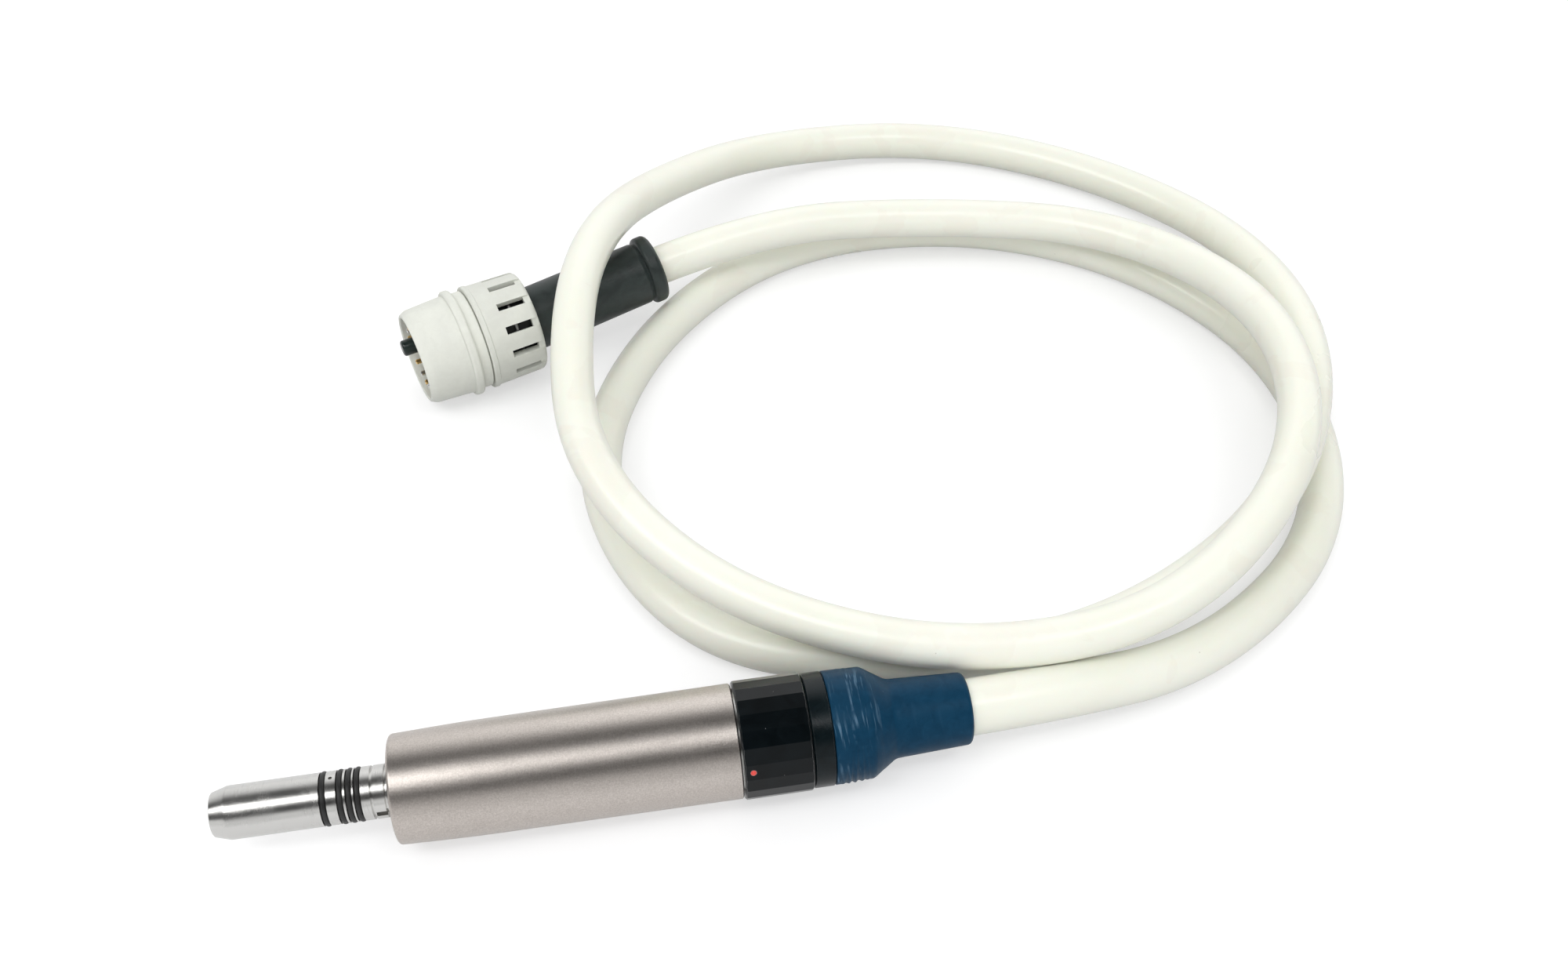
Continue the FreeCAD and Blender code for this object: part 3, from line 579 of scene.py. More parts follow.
def turning_group():
    """Fine rings left by turning: the noise changes only along the piece's own axis."""
    tree, given, leave = start_group(
        "turning lines",
        [
            ("Place", "Vector", None),
            ("Spacing", "Float", 0.1),
            ("Depth", "Float", 0.1),
            ("Normal", "Vector", None),
        ],
        [("Mask", "Float"), ("Normal", "Vector")],
    )
    along = add(tree, "SeparateXYZ", inputs={"Vector": given["Place"]}).outputs["X"]
    wobble = add(
        tree,
        "TexNoise",
        inputs={"Vector": given["Place"], "Scale": turning_wobble_scale, "Detail": 1.0},
    )
    drift = math_node(tree, "MULTIPLY", wobble.outputs["Fac"], turning_wobble_metres)
    along = math_node(tree, "ADD", along, drift)
    scaled = math_node(tree, "DIVIDE", along, math_node(tree, "MULTIPLY", given["Spacing"], MM))
    line = add(tree, "CombineXYZ", inputs={"X": scaled})
    noise = add(tree, "TexNoise", inputs={"Vector": line.outputs["Vector"], "Scale": 1.0, "Detail": 3.0})
    bump = add(
        tree,
        "Bump",
        inputs={
            "Strength": given["Depth"],
            "Distance": turning_height_metres,
            "Height": noise.outputs["Fac"],
        },
    )
    tree.links.new(given["Normal"], bump.inputs["Normal"])
    tree.links.new(noise.outputs["Fac"], leave.inputs["Mask"])
    tree.links.new(bump.outputs["Normal"], leave.inputs["Normal"])
    return tree


def smudge_group():
    """Soft patches left by handling, from 0 to 1."""
    tree, given, leave = start_group(
        "handling smudges",
        [("Place", "Vector", None), ("Size", "Float", 10.0), ("Contrast", "Float", 0.5)],
        [("Mask", "Float")],
    )
    scale = math_node(tree, "DIVIDE", mm_per_metre, given["Size"])
    noise = add(
        tree,
        "TexNoise",
        inputs={"Vector": given["Place"], "Scale": scale, "Detail": 4.0, "Distortion": 0.8},
    )
    centred = math_node(tree, "SUBTRACT", noise.outputs["Fac"], 0.5)
    spread = math_node(tree, "MULTIPLY", centred, math_node(tree, "MULTIPLY", given["Contrast"], 4.0))
    result = add(tree, "Math", {"operation": "ADD", "use_clamp": True}, {0: spread, 1: 0.5})
    tree.links.new(result.outputs[0], leave.inputs["Mask"])
    return tree


def speck_group():
    """Small scattered specks, such as dust and dirt: Amount is the share of cells that hold one."""
    tree, given, leave = start_group(
        "dust specks",
        [
            ("Place", "Vector", None),
            ("Spacing", "Float", 5.0),
            ("Size", "Float", 0.1),
            ("Amount", "Float", 0.3),
        ],
        [("Mask", "Float")],
    )
    scale = math_node(tree, "DIVIDE", mm_per_metre, given["Spacing"])
    cells = add(tree, "TexVoronoi", inputs={"Vector": given["Place"], "Scale": scale})
    reach = math_node(tree, "DIVIDE", given["Size"], given["Spacing"])
    near = math_node(tree, "LESS_THAN", cells.outputs["Distance"], reach)
    pick = add(tree, "SeparateColor", inputs={"Color": cells.outputs["Color"]}).outputs[0]
    chosen = math_node(tree, "LESS_THAN", pick, given["Amount"])
    tree.links.new(math_node(tree, "MULTIPLY", near, chosen), leave.inputs["Mask"])
    return tree


def scratch_group():
    """Short fine scratches that run round the piece's own axis."""
    tree, given, leave = start_group(
        "fine scratches",
        [
            ("Place", "Vector", None),
            ("Length", "Float", 3.0),
            ("Width", "Float", 0.1),
            ("Amount", "Float", 0.1),
        ],
        [("Mask", "Float")],
    )
    parts = add(tree, "SeparateXYZ", inputs={"Vector": given["Place"]}).outputs
    across = math_node(tree, "DIVIDE", mm_per_metre, given["Width"])
    round_way = math_node(tree, "DIVIDE", mm_per_metre, given["Length"])
    lean = math_node(tree, "MULTIPLY", parts["Z"], scratch_slant)
    stretched = add(
        tree,
        "CombineXYZ",
        inputs={
            "X": math_node(tree, "MULTIPLY", math_node(tree, "ADD", parts["X"], lean), across),
            "Y": math_node(tree, "MULTIPLY", parts["Y"], round_way),
            "Z": math_node(tree, "MULTIPLY", parts["Z"], round_way),
        },
    )
    noise = add(
        tree, "TexNoise", inputs={"Vector": stretched.outputs["Vector"], "Scale": 1.0, "Detail": 2.0}
    )
    level = math_node(tree, "SUBTRACT", scratch_level, given["Amount"])
    over = math_node(tree, "SUBTRACT", noise.outputs["Fac"], level)
    result = add(
        tree, "Math", {"operation": "MULTIPLY", "use_clamp": True}, {0: over, 1: scratch_crispness}
    )
    tree.links.new(result.outputs[0], leave.inputs["Mask"])
    return tree


def worn_edge_group():
    """Mask of sharp outer edges, broken up by noise: Reach is how far wear goes from an edge."""
    tree, given, leave = start_group(
        "worn edges",
        [("Place", "Vector", None), ("Reach", "Float", 0.2), ("Patchiness", "Float", 0.5)],
        [("Mask", "Float")],
    )
    softened = add(
        tree,
        "Bevel",
        {"samples": 4},
        {"Radius": math_node(tree, "MULTIPLY", given["Reach"], MM)},
    )
    plain = add(tree, "NewGeometry")
    agree = add(
        tree,
        "VectorMath",
        {"operation": "DOT_PRODUCT"},
        {0: softened.outputs["Normal"], 1: plain.outputs["Normal"]},
    )
    turn = math_node(tree, "SUBTRACT", 1.0, agree.outputs["Value"])
    noise = add(
        tree, "TexNoise", inputs={"Vector": given["Place"], "Scale": wear_patch_scale, "Detail": 3.0}
    )
    patch = math_node(tree, "MULTIPLY", noise.outputs["Fac"], given["Patchiness"])
    edge = math_node(tree, "SUBTRACT", math_node(tree, "MULTIPLY", turn, wear_gain), patch)
    result = add(
        tree, "Math", {"operation": "MULTIPLY", "use_clamp": True}, {0: edge, 1: wear_crispness}
    )
    tree.links.new(result.outputs[0], leave.inputs["Mask"])
    return tree


def round_group():
    """Shading direction of a piece turned about the motor's axis, exact also at the seam of its skin."""
    tree, given, leave = start_group("turned skin", [("Place", "Vector", None)], [("Normal", "Vector")])
    parts = add(tree, "SeparateXYZ", inputs={"Vector": given["Place"]}).outputs
    height = math_node(tree, "SUBTRACT", parts["Z"], axis_height * MM)
    spoke = add(tree, "CombineXYZ", inputs={"Y": parts["Y"], "Z": height}).outputs["Vector"]
    spoke = add(tree, "VectorMath", {"operation": "NORMALIZE"}, {0: spoke}).outputs["Vector"]
    given_way = add(tree, "NewGeometry").outputs["Normal"]
    along = add(tree, "SeparateXYZ", inputs={"Vector": given_way}).outputs["X"]
    across = add(tree, "VectorMath", {"operation": "DOT_PRODUCT"}, {0: given_way, 1: spoke}).outputs["Value"]
    rest = math_node(tree, "SUBTRACT", 1.0, math_node(tree, "MULTIPLY", along, along))
    reach = math_node(tree, "SQRT", math_node(tree, "MAXIMUM", rest, 0.0))
    signed = math_node(tree, "MULTIPLY", reach, math_node(tree, "SIGN", across))
    fixed = add(tree, "VectorMath", {"operation": "SCALE"}, {0: spoke, "Scale": signed}).outputs["Vector"]
    shift = add(tree, "CombineXYZ", inputs={"X": along}).outputs["Vector"]
    fixed = add(tree, "VectorMath", {"operation": "ADD"}, {0: fixed, 1: shift}).outputs["Vector"]
    least = math_node(tree, "MULTIPLY", reach, round_share)
    near = math_node(tree, "GREATER_THAN", math_node(tree, "ABSOLUTE", across), least)
    chosen = add(tree, "Mix", {"data_type": "VECTOR"})
    tree.links.new(near, chosen.inputs[0])
    tree.links.new(given_way, chosen.inputs[4])
    tree.links.new(fixed, chosen.inputs[5])
    tree.links.new(chosen.outputs[1], leave.inputs["Normal"])
    return tree


effects = {}


def make_effects():
    """Build each shared effect once, for every finish to use."""
    effects["turned skin"] = round_group()
    effects["grain"] = grain_group()
    effects["turning"] = turning_group()
    effects["smudges"] = smudge_group()
    effects["specks"] = speck_group()
    effects["scratches"] = scratch_group()
    effects["worn edges"] = worn_edge_group()


# Finishes
def start_material(name, values):
    """Material with its main shader, whose plain values are set on its own sockets."""
    material = bpy.data.materials.new(name)
    material.use_nodes = True
    tree = material.node_tree
    shader = tree.nodes["Principled BSDF"]
    for label, value in values.items():
        shader.inputs[label].default_value = (*value, 1) if isinstance(value, tuple) else value
    return material, tree, shader


def own_place(tree):
    """Place on the motor, in metres, with X along its axis."""
    return add(tree, "TexCoord").outputs["Object"]


def plug_place(tree):
    """Place on the plug, with X along the plug's own axis."""
    moved = add(
        tree,
        "Mapping",
        {"vector_type": "TEXTURE"},
        {
            "Vector": own_place(tree),
            "Location": Vector(ridge_place) * MM,
            "Rotation": (0, 0, math.radians(plug_yaw)),
        },
    )
    return moved.outputs["Vector"]


def feed(tree, shader, **links):
    """Connect outputs to the shader: names use underscores for spaces."""
    for name, socket in links.items():
        tree.links.new(socket, shader.inputs[name.replace("_", " ")])


def near_ends(tree, where, front, rear, reach):
    """Mask that is 1 near two stations of the motor and 0 between them."""
    along = add(tree, "SeparateXYZ", inputs={"Vector": where}).outputs["X"]
    middle = ((front + rear) / 2 - motor_length / 2) * MM
    away = math_node(tree, "ABSOLUTE", math_node(tree, "SUBTRACT", along, middle))
    return math_node(tree, "GREATER_THAN", away, ((rear - front) / 2 - reach) * MM)


def turned_steel(name, color, roughness, place=own_place, spacing=0.08, depth=0.25, skin=False):
    """Turned or ground metal with fine rings, smudges and scratches."""
    material, tree, shader = start_material(name, {"Metallic": 1.0})
    where = place(tree)
    settings = {"Place": where, "Spacing": spacing, "Depth": depth}
    if skin:
        settings["Normal"] = use_group(tree, effects["turned skin"], {"Place": where})["Normal"]
    lines = use_group(tree, effects["turning"], settings)
    smudges = use_group(tree, effects["smudges"], {"Place": where, "Size": 6.0, "Contrast": 0.5})
    scratches = use_group(
        tree, effects["scratches"], {"Place": where, "Length": 4.0, "Width": 0.12, "Amount": 0.16}
    )
    dark = tuple(level * 0.78 for level in color)
    tint = blend_colors(tree, remap(tree, lines["Mask"], 0.0, 0.8), color, dark)
    tint = blend_colors(tree, remap(tree, scratches["Mask"], 0.0, 0.35), tint, scratch_grey)
    rough = math_node(tree, "MULTIPLY", remap(tree, smudges["Mask"], 0.7, 1.4), roughness)
    rough = math_node(tree, "ADD", rough, remap(tree, lines["Mask"], 0.0, 0.08))
    feed(tree, shader, Base_Color=tint, Roughness=rough, Normal=lines["Normal"])
    return material


def blasted_steel():
    """Champagne steel of the body: even mottled grain with faint rubbed spots."""
    material, tree, shader = start_material("body champagne steel", {"Metallic": 1.0})
    where = own_place(tree)
    skin = use_group(tree, effects["turned skin"], {"Place": where})
    coarse = use_group(
        tree,
        effects["grain"],
        {"Place": where, "Size": 0.34, "Depth": 0.07, "Normal": skin["Normal"]},
    )
    fine = use_group(
        tree,
        effects["grain"],
        {"Place": where, "Size": 0.13, "Depth": 0.24, "Normal": coarse["Normal"]},
    )
    smudges = use_group(tree, effects["smudges"], {"Place": where, "Size": 14.0, "Contrast": 0.5})
    marks = use_group(
        tree, effects["scratches"], {"Place": where, "Length": 2.2, "Width": 0.22, "Amount": 0.1}
    )
    ends = near_ends(tree, where, body_front, body_rear, body_end_wear)
    edges = use_group(tree, effects["worn edges"], {"Place": where, "Reach": 0.35, "Patchiness": 0.5})
    bright = math_node(tree, "MULTIPLY", edges["Mask"], ends)
    mottle = math_node(tree, "MULTIPLY", coarse["Mask"], fine["Mask"])
    tint = ramp(tree, mottle, champagne)
    tint = blend_colors(tree, remap(tree, smudges["Mask"], 0.0, 0.12), tint, champagne_smudged)
    tint = blend_colors(tree, remap(tree, marks["Mask"], 0.0, 0.16), tint, champagne_marked)
    tint = blend_colors(tree, remap(tree, bright, 0.0, 0.5), tint, champagne_worn)
    rough = remap(tree, smudges["Mask"], 0.27, 0.33)
    rough = math_node(tree, "SUBTRACT", rough, remap(tree, bright, 0.0, 0.08))
    feed(tree, shader, Base_Color=tint, Roughness=rough, Normal=fine["Normal"])
    return material


def black_coat(name, color, roughness, grain_size, grain_depth, chips, skin=False):
    """Black coated metal, with bare metal where chips have come off its edges."""
    material, tree, shader = start_material(name, {"Specular IOR Level": 0.22})
    where = own_place(tree)
    settings = {"Place": where, "Size": grain_size, "Depth": grain_depth}
    if skin:
        settings["Normal"] = use_group(tree, effects["turned skin"], {"Place": where})["Normal"]
    grain = use_group(tree, effects["grain"], settings)
    smudges = use_group(tree, effects["smudges"], {"Place": where, "Size": 5.0, "Contrast": 0.7})
    dust = use_group(
        tree, effects["specks"], {"Place": where, "Spacing": 1.3, "Size": 0.08, "Amount": 0.13}
    )
    edges = use_group(tree, effects["worn edges"], {"Place": where, "Reach": 0.22, "Patchiness": 2.6})
    paler = tuple(level * 2.2 + 0.001 for level in color)
    tint = blend_colors(tree, smudges["Mask"], color, paler)
    tint = blend_colors(tree, remap(tree, dust["Mask"], 0.0, 0.4), tint, dust_grey)
    bare = math_node(tree, "MULTIPLY", edges["Mask"], chips)
    tint = blend_colors(tree, bare, tint, bare_metal)
    rough = remap(tree, smudges["Mask"], roughness * 0.8, roughness * 1.3)
    feed(tree, shader, Base_Color=tint, Roughness=rough, Metallic=bare, Normal=grain["Normal"])
    return material


def rubber(name, color, roughness):
    """Plain dark rubber of seal rings."""
    material, tree, shader = start_material(name, {"Specular IOR Level": 0.4})
    where = own_place(tree)
    grain = use_group(tree, effects["grain"], {"Place": where, "Size": 0.09, "Depth": 0.12})
    smudges = use_group(tree, effects["smudges"], {"Place": where, "Size": 2.0, "Contrast": 0.6})
    lighter = tuple(min(1.0, level * 1.8 + 0.004) for level in color)
    tint = blend_colors(tree, smudges["Mask"], color, lighter)
    feed(
        tree,
        shader,
        Base_Color=tint,
        Roughness=remap(tree, smudges["Mask"], roughness * 0.85, roughness * 1.2),
        Normal=grain["Normal"],
    )
    return material


def boot_silicone():
    """Matt dark blue silicone, paler where it has been rubbed round the boot."""
    material, tree, shader = start_material(
        "boot blue silicone", {"Specular IOR Level": 0.14, "Specular Tint": (0.6, 0.85, 1.0)}
    )
    where = own_place(tree)
    grain = use_group(tree, effects["grain"], {"Place": where, "Size": 0.16, "Depth": 0.22})
    smudges = use_group(tree, effects["smudges"], {"Place": where, "Size": 6.5, "Contrast": 1.1})
    clouds = use_group(tree, effects["smudges"], {"Place": where, "Size": 2.4, "Contrast": 0.6})
    rubs = use_group(
        tree, effects["scratches"], {"Place": where, "Length": 9.0, "Width": 0.8, "Amount": 0.24}
    )
    hairs = use_group(
        tree, effects["scratches"], {"Place": where, "Length": 6.0, "Width": 0.32, "Amount": 0.2}
    )
    dust = use_group(
        tree, effects["specks"], {"Place": where, "Spacing": 2.1, "Size": 0.09, "Amount": 0.12}
    )
    base = blend_colors(tree, grain["Mask"], *boot_blues)
    base = blend_colors(tree, remap(tree, clouds["Mask"], 0.0, 0.35), base, boot_cloud)
    along = add(tree, "SeparateXYZ", inputs={"Vector": where}).outputs["X"]
    wide_part = add(
        tree,
        "MapRange",
        {"interpolation_type": "SMOOTHSTEP"},
        {
            "Value": along,
            "From Min": rub_fade_end * MM,
            "From Max": rub_fade_start * MM,
            "To Min": 0.04,
            "To Max": 1.0,
        },
    )
    worn = math_node(tree, "MAXIMUM", rubs["Mask"], math_node(tree, "MULTIPLY", hairs["Mask"], 0.7))
    worn = math_node(tree, "MULTIPLY", worn, smudges["Mask"])
    worn = math_node(tree, "MULTIPLY", worn, wide_part.outputs["Result"])
    tint = blend_colors(tree, remap(tree, worn, 0.0, 0.6), base, boot_rubbed)
    tint = blend_colors(tree, remap(tree, dust["Mask"], 0.0, 0.35), tint, boot_dust)
    rough = remap(tree, smudges["Mask"], 0.33, 0.44)
    feed(tree, shader, Base_Color=tint, Roughness=rough, Normal=grain["Normal"])
    return material


def hose_silicone():
    """Cream silicone with a soft gloss, faint stains and specks of dirt."""
    material, tree, shader = start_material(
        "hose cream silicone",
        {
            "Specular IOR Level": 0.45,
            "Subsurface Weight": 0.12,
            "Subsurface Scale": 0.003,
            "Coat Roughness": 0.22,
        },
    )
    where = own_place(tree)
    grain = use_group(tree, effects["grain"], {"Place": where, "Size": 0.5, "Depth": 0.08})
    smudges = use_group(tree, effects["smudges"], {"Place": where, "Size": 38.0, "Contrast": 0.5})
    stains = use_group(tree, effects["smudges"], {"Place": where, "Size": 17.0, "Contrast": 1.3})
    dirt = use_group(
        tree, effects["specks"], {"Place": where, "Spacing": 6.0, "Size": 0.16, "Amount": 0.16}
    )
    base = blend_colors(tree, smudges["Mask"], *hose_creams)
    patch = ramp(tree, stains["Mask"], [(0.9, 0.0), (1.0, 0.07)])
    base = blend_colors(tree, patch, base, hose_stain)
    base = blend_colors(tree, remap(tree, dirt["Mask"], 0.0, 0.4), base, hose_dirt)
    rough = remap(tree, smudges["Mask"], 0.26, 0.36)
    coat = remap(tree, smudges["Mask"], 0.5, 0.3)
    feed(tree, shader, Base_Color=base, Roughness=rough, Coat_Weight=coat, Normal=grain["Normal"])
    return material


def plug_plastic(name, shift):
    """Pale warm grey moulded plastic, with paler rubbed edges and faint grime."""
    material, tree, shader = start_material(name, {"Specular IOR Level": 0.4})
    where = plug_place(tree)
    grain = use_group(tree, effects["grain"], {"Place": where, "Size": 0.12, "Depth": 0.14})
    smudges = use_group(tree, effects["smudges"], {"Place": where, "Size": 7.0, "Contrast": 0.6})
    grime = use_group(tree, effects["smudges"], {"Place": where, "Size": 1.5, "Contrast": 1.0})
    edges = use_group(tree, effects["worn edges"], {"Place": where, "Reach": 0.4, "Patchiness": 0.8})
    specks = use_group(
        tree, effects["specks"], {"Place": where, "Spacing": 2.6, "Size": 0.11, "Amount": 0.1}
    )
    first, second = (tuple(level * shift for level in grey) for grey in plug_greys)
    tint = blend_colors(tree, smudges["Mask"], first, second)
    tint = blend_colors(tree, remap(tree, grime["Mask"], 0.0, 0.06), tint, plug_grime)
    tint = blend_colors(tree, remap(tree, edges["Mask"], 0.0, 0.35), tint, plug_worn)
    tint = blend_colors(tree, remap(tree, specks["Mask"], 0.0, 0.35), tint, plug_speck)
    rough = remap(tree, smudges["Mask"], 0.42, 0.56)
    feed(tree, shader, Base_Color=tint, Roughness=rough, Normal=grain["Normal"])
    return material


def black_plastic(name, color, roughness, grain_size=0.22, grain_depth=0.3):
    """Black moulded plastic or rubber with a faint grain, dust and paler rubbed edges."""
    material, tree, shader = start_material(name, {"Specular IOR Level": 0.45})
    where = plug_place(tree)
    grain = use_group(tree, effects["grain"], {"Place": where, "Size": grain_size, "Depth": grain_depth})
    smudges = use_group(tree, effects["smudges"], {"Place": where, "Size": 4.0, "Contrast": 0.7})
    dust = use_group(
        tree, effects["specks"], {"Place": where, "Spacing": 1.5, "Size": 0.07, "Amount": 0.15}
    )
    edges = use_group(tree, effects["worn edges"], {"Place": where, "Reach": 0.3, "Patchiness": 1.4})
    paler = tuple(level * 1.7 + 0.002 for level in color)
    tint = blend_colors(tree, smudges["Mask"], color, paler)
    tint = blend_colors(tree, remap(tree, dust["Mask"], 0.0, 0.25), tint, plastic_dust)
    tint = blend_colors(tree, remap(tree, edges["Mask"], 0.0, 0.2), tint, plastic_worn)
    rough = remap(tree, smudges["Mask"], roughness * 0.85, roughness * 1.2)
    feed(tree, shader, Base_Color=tint, Roughness=rough, Normal=grain["Normal"])
    return material


def copper_winding():
    """Varnished copper wire: fine ridges along the coils, with painted shade in the grooves between them."""
    material, tree, shader = start_material("copper winding", {"Metallic": 0.9})
    where = own_place(tree)
    lines = use_group(tree, effects["turning"], {"Place": where, "Spacing": 0.25, "Depth": 0.8})
    # Painted shade: the wire is darker where the ridge height is low, in the grooves between the turns.
    tint = blend_colors(tree, lines["Mask"], (0.28, 0.1, 0.04), (0.75, 0.33, 0.15))
    feed(
        tree,
        shader,
        Base_Color=tint,
        Roughness=remap(tree, lines["Mask"], 0.25, 0.4),
        Normal=lines["Normal"],
    )
    return material


def circuit_board():
    """Green coated board with uneven tone."""
    material, tree, shader = start_material("circuit board", {"Specular IOR Level": 0.5})
    where = own_place(tree)
    smudges = use_group(tree, effects["smudges"], {"Place": where, "Size": 2.0, "Contrast": 1.4})
    tint = blend_colors(tree, smudges["Mask"], (0.01, 0.09, 0.035), (0.025, 0.16, 0.06))
    feed(tree, shader, Base_Color=tint, Roughness=remap(tree, smudges["Mask"], 0.25, 0.45))
    return material


def red_enamel():
    """Red enamel of the index dot."""
    material, tree, shader = start_material("red enamel", {"Specular IOR Level": 0.5})
    where = own_place(tree)
    smudges = use_group(tree, effects["smudges"], {"Place": where, "Size": 0.5, "Contrast": 0.8})
    tint = blend_colors(tree, smudges["Mask"], (0.62, 0.035, 0.03), (0.8, 0.09, 0.07))
    feed(tree, shader, Base_Color=tint, Roughness=remap(tree, smudges["Mask"], 0.25, 0.4))
    return material


def give(material, *nodes):
    """Put a finish on nodes of the frame."""
    for name in nodes:
        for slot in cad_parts[name].material_slots:
            slot.material = material


def finish_nodes():
    """Give every node of the frame its finish."""
    spigot = turned_steel("spigot turned steel", (0.76, 0.755, 0.735), 0.2, skin=True)
    ground = turned_steel("ground steel", (0.7, 0.7, 0.7), 0.14, spacing=0.05, depth=0.1)
    spring = turned_steel("spring wire", (0.55, 0.55, 0.56), 0.25, depth=0.1)
    brass = turned_steel("turned brass", (0.8, 0.6, 0.3), 0.2)
    core = turned_steel("stacked core sheets", (0.4, 0.4, 0.41), 0.4, spacing=0.35, depth=0.6)
    magnet = turned_steel("ground magnet", (0.5, 0.5, 0.51), 0.3)
    plated_gold = turned_steel("gold contacts", (0.93, 0.66, 0.3), 0.16, place=plug_place)
    plated_silver = turned_steel("silver contacts", (0.82, 0.82, 0.8), 0.16, place=plug_place)
    seal = rubber("seal black rubber", (0.012, 0.012, 0.012), 0.42)
    dark = black_plastic("black moulded plastic", (0.008, 0.009, 0.009), 0.4)
    give(spigot, "coupling_spigot", "bayonet_sleeve", "hose_ferrule", "rear_bearing_carrier")
    give(seal, "seal_ring_1", "seal_ring_2", "seal_ring_3", "seal_ring_4", "face_seal")
    give(blasted_steel(), "body_sleeve")
    give(black_coat("union glossy black", (0.0006, 0.0016, 0.0022), 0.09, 0.5, 0.02, 0.9), "union_ring")
    satin = black_coat("collar satin black", (0.0012, 0.0034, 0.0044), 0.22, 0.14, 0.12, 0.25, skin=True)
    give(satin, "collar_ring")
    give(red_enamel(), "index_dot")
    give(ground, "rotor_shaft", "dog_pin", "drive_dog", "spring_collar", "water_tube", "spray_air_tube")
    for end in ("front", "rear"):
        give(ground, f"{end}_bearing_outer_race", f"{end}_bearing_inner_race", f"{end}_bearing_balls")
        give(dark, f"{end}_bearing_cage")
        give(brass, f"{end}_balance_ring")
    give(spring, "magnet_band", "preload_washer", "snap_ring")
    make_spring(spring)
    give(magnet, "rotor_magnet")
    give(copper_winding(), "stator_winding")
    give(core, "stator_core")
    give(circuit_board(), "sensor_board")
    give(dark, "hall_sensors", "terminal_block", "hose_connector", "plug_core")
    give(plated_gold, "motor_pins", "gold_contacts")
    give(plated_silver, "silver_contacts")
    give(plug_plastic("plug shell grey plastic", 1.0), "plug_shell")
    give(plug_plastic("locking ring grey plastic", 0.93), "locking_ring")
    give(black_plastic("contact block plastic", (0.03, 0.03, 0.03), 0.5), "contact_block")
    give(black_plastic("key post plastic", (0.007, 0.014, 0.012), 0.24), "key_post")


# Hose
def make_hose(sleeve):
    """Hose along its route, thicker at the motor, ending in the plug. The plug's pieces are gathered with
    the sleeve, but nothing is done with them here.
    """
    curve = bpy.data.curves.new("hose", "CURVE")
    curve.dimensions = "3D"
    curve.resolution_u = 24
    curve.bevel_depth = hose_radius * MM
    curve.bevel_resolution = 12
    curve.use_fill_caps = True
    spline = curve.splines.new("NURBS")
    spline.points.add(len(hose_route) - 1)
    for i, (point, place) in enumerate(zip(spline.points, hose_route)):
        point.co = (*(Vector(place) * MM), 1)
        point.radius = (hose_taper[i] if i < len(hose_taper) else hose_radius) / hose_radius
    spline.order_u = 3
    spline.use_endpoint_u = True
    hose = bpy.data.objects.new("hose_tube", curve)
    bpy.context.scene.collection.objects.link(hose)
    curve.materials.append(hose_silicone())
    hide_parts("hose")
    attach(hose, "motor")
    pieces = [
        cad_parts[name]
        for name in (
            "plug_shell",
            "contact_block",
            "gold_contacts",
            "silver_contacts",
            "key_post",
            "locking_ring",
            "plug_core",
            "snap_ring",
            "strain_relief",
        )
    ]
    pieces.append(sleeve)


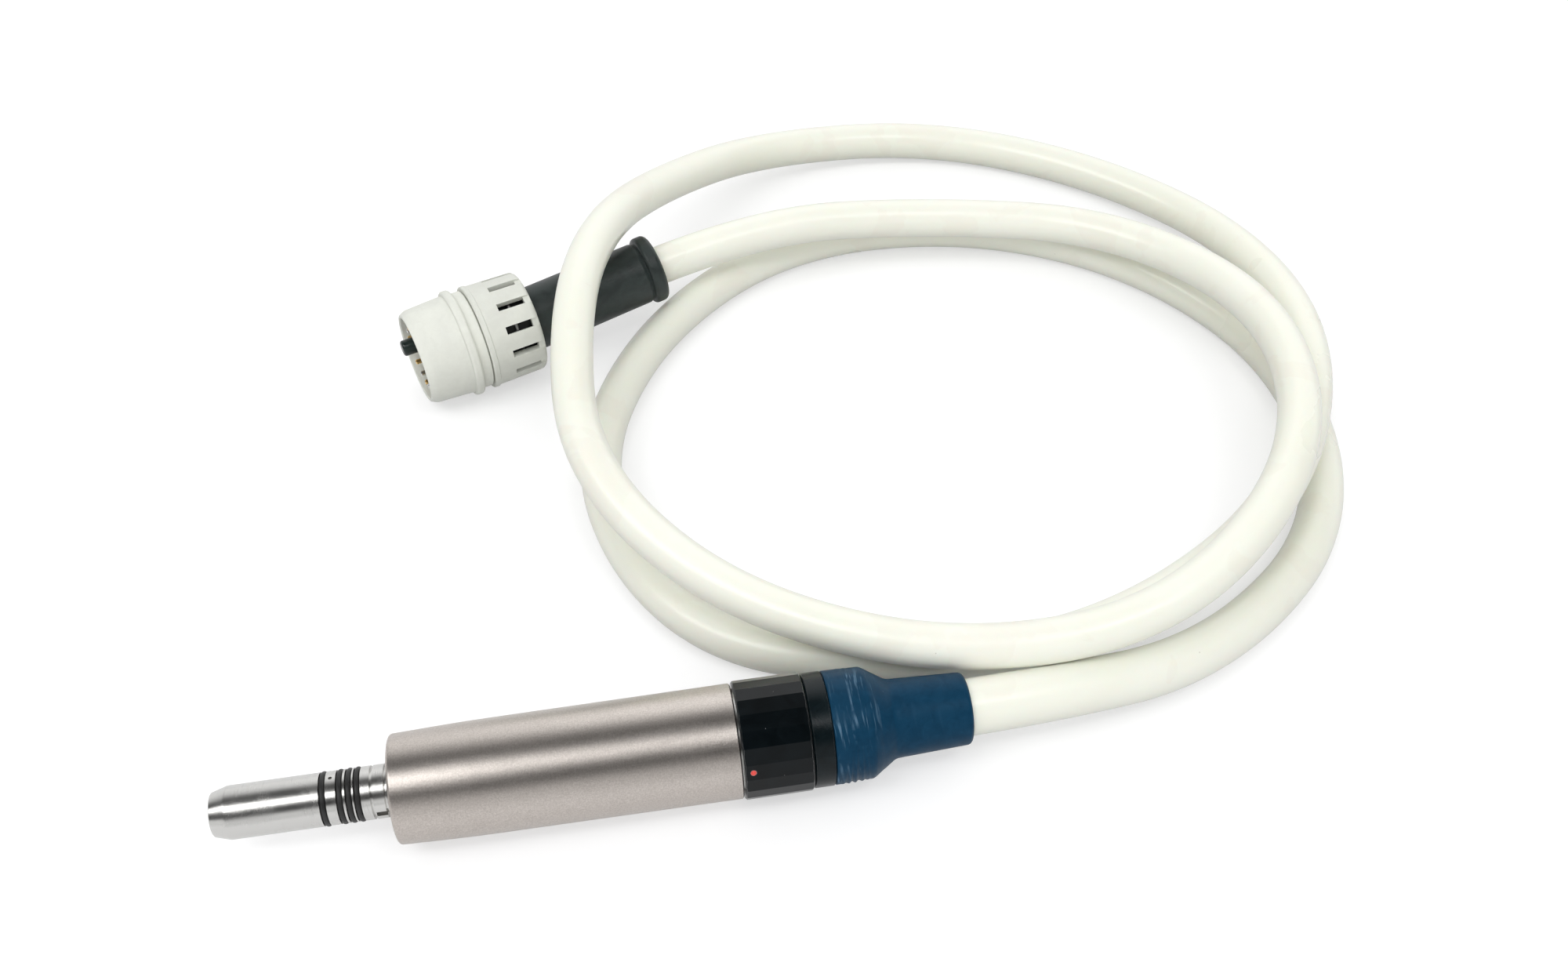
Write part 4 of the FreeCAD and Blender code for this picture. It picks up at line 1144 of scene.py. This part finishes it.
# Floor, lamps and surroundings
def make_floor():
    """Pale table that looks white to the camera and keeps the object's shadow."""
    mesh = bpy.data.meshes.new("floor")
    half = floor_half_metres
    low = -floor_drop_metres
    mesh.from_pydata(
        [(-half, -half, low), (half, -half, low), (half, half, low), (-half, half, low)],
        [],
        [(0, 1, 2, 3)],
    )
    floor = bpy.data.objects.new("floor", mesh)
    bpy.context.scene.collection.objects.link(floor)
    material, tree, shader = start_material(
        "table white", {"Base Color": floor_color, "Roughness": 0.6, "Specular IOR Level": 0.15}
    )
    rays = add(tree, "LightPath").outputs
    mirrored = math_node(tree, "MAXIMUM", rays["Is Glossy Ray"], rays["Is Transmission Ray"])
    mirrored = math_node(tree, "MULTIPLY", mirrored, mirrored_glow)
    where = add(tree, "TexCoord").outputs["Object"]
    away = add(tree, "VectorMath", {"operation": "LENGTH"}, {0: where}).outputs["Value"]
    fade = add(
        tree,
        "MapRange",
        {"interpolation_type": "SMOOTHSTEP"},
        {
            "Value": away,
            "From Min": glow_near_metres,
            "From Max": glow_far_metres,
            "To Min": direct_glow,
            "To Max": 1.0,
        },
    )
    direct = math_node(tree, "MULTIPLY", rays["Is Camera Ray"], fade.outputs["Result"])
    glow = add(
        tree,
        "Emission",
        inputs={"Color": (1, 1, 1, 1), "Strength": math_node(tree, "ADD", direct, mirrored)},
    )
    both = add(tree, "AddShader", inputs={0: shader.outputs[0], 1: glow.outputs[0]})
    tree.links.new(both.outputs[0], tree.nodes["Material Output"].inputs["Surface"])
    mesh.materials.append(material)


def make_lamp(name, place, tilt, turn, size_x, size_y, power, mirrored):
    """Flat lamp that faces down, tilted about the X axis. One that isn't mirrored gives no highlights."""
    data = bpy.data.lights.new(name, "AREA")
    data.shape = "RECTANGLE"
    data.size = size_x
    data.size_y = size_y
    data.energy = power
    lamp = bpy.data.objects.new(name, data)
    lamp.location = place
    lamp.rotation_euler = (math.radians(tilt), 0, math.radians(turn))
    lamp.visible_glossy = mirrored
    bpy.context.scene.collection.objects.link(lamp)


def make_light():
    """Soft studio light: the lamps and the white room round the object."""
    for lamp in lamps:
        make_lamp(*lamp)
    make_surroundings()
    bpy.context.scene.view_settings.view_transform = "Standard"


def make_surroundings():
    """White to the camera, and banded levels of light to the metal, which differ at its two ends."""
    world = bpy.data.worlds.new("studio")
    bpy.context.scene.world = world
    world.use_nodes = True
    tree = world.node_tree
    back = tree.nodes["Background"]
    way = add(tree, "SeparateXYZ", inputs={"Vector": add(tree, "TexCoord").outputs["Generated"]}).outputs
    angle = math_node(tree, "ARCTAN2", way["Z"], way["Y"])
    share = math_node(tree, "DIVIDE", angle, math.pi)
    spigot_side = ramp(tree, share, [(degrees / 180.0, level) for degrees, level, other in surround_levels])
    hose_side = ramp(tree, share, [(degrees / 180.0, level) for degrees, other, level in surround_levels])
    side = add(
        tree,
        "MapRange",
        {"interpolation_type": "SMOOTHSTEP"},
        {"Value": way["X"], "From Min": surround_turn[0], "From Max": surround_turn[1]},
    )
    level = blend_colors(tree, side.outputs["Result"], spigot_side, hose_side)
    rays = add(tree, "LightPath").outputs
    shown = blend_colors(tree, rays["Is Camera Ray"], level, (1.0, 1.0, 1.0))
    tree.links.new(shown, back.inputs["Color"])
    back.inputs["Strength"].default_value = 1.0


make_camera()
make_effects()
sleeve = make_sleeve()
make_hose(sleeve)
make_boot()
finish_nodes()
make_floor()
make_light()
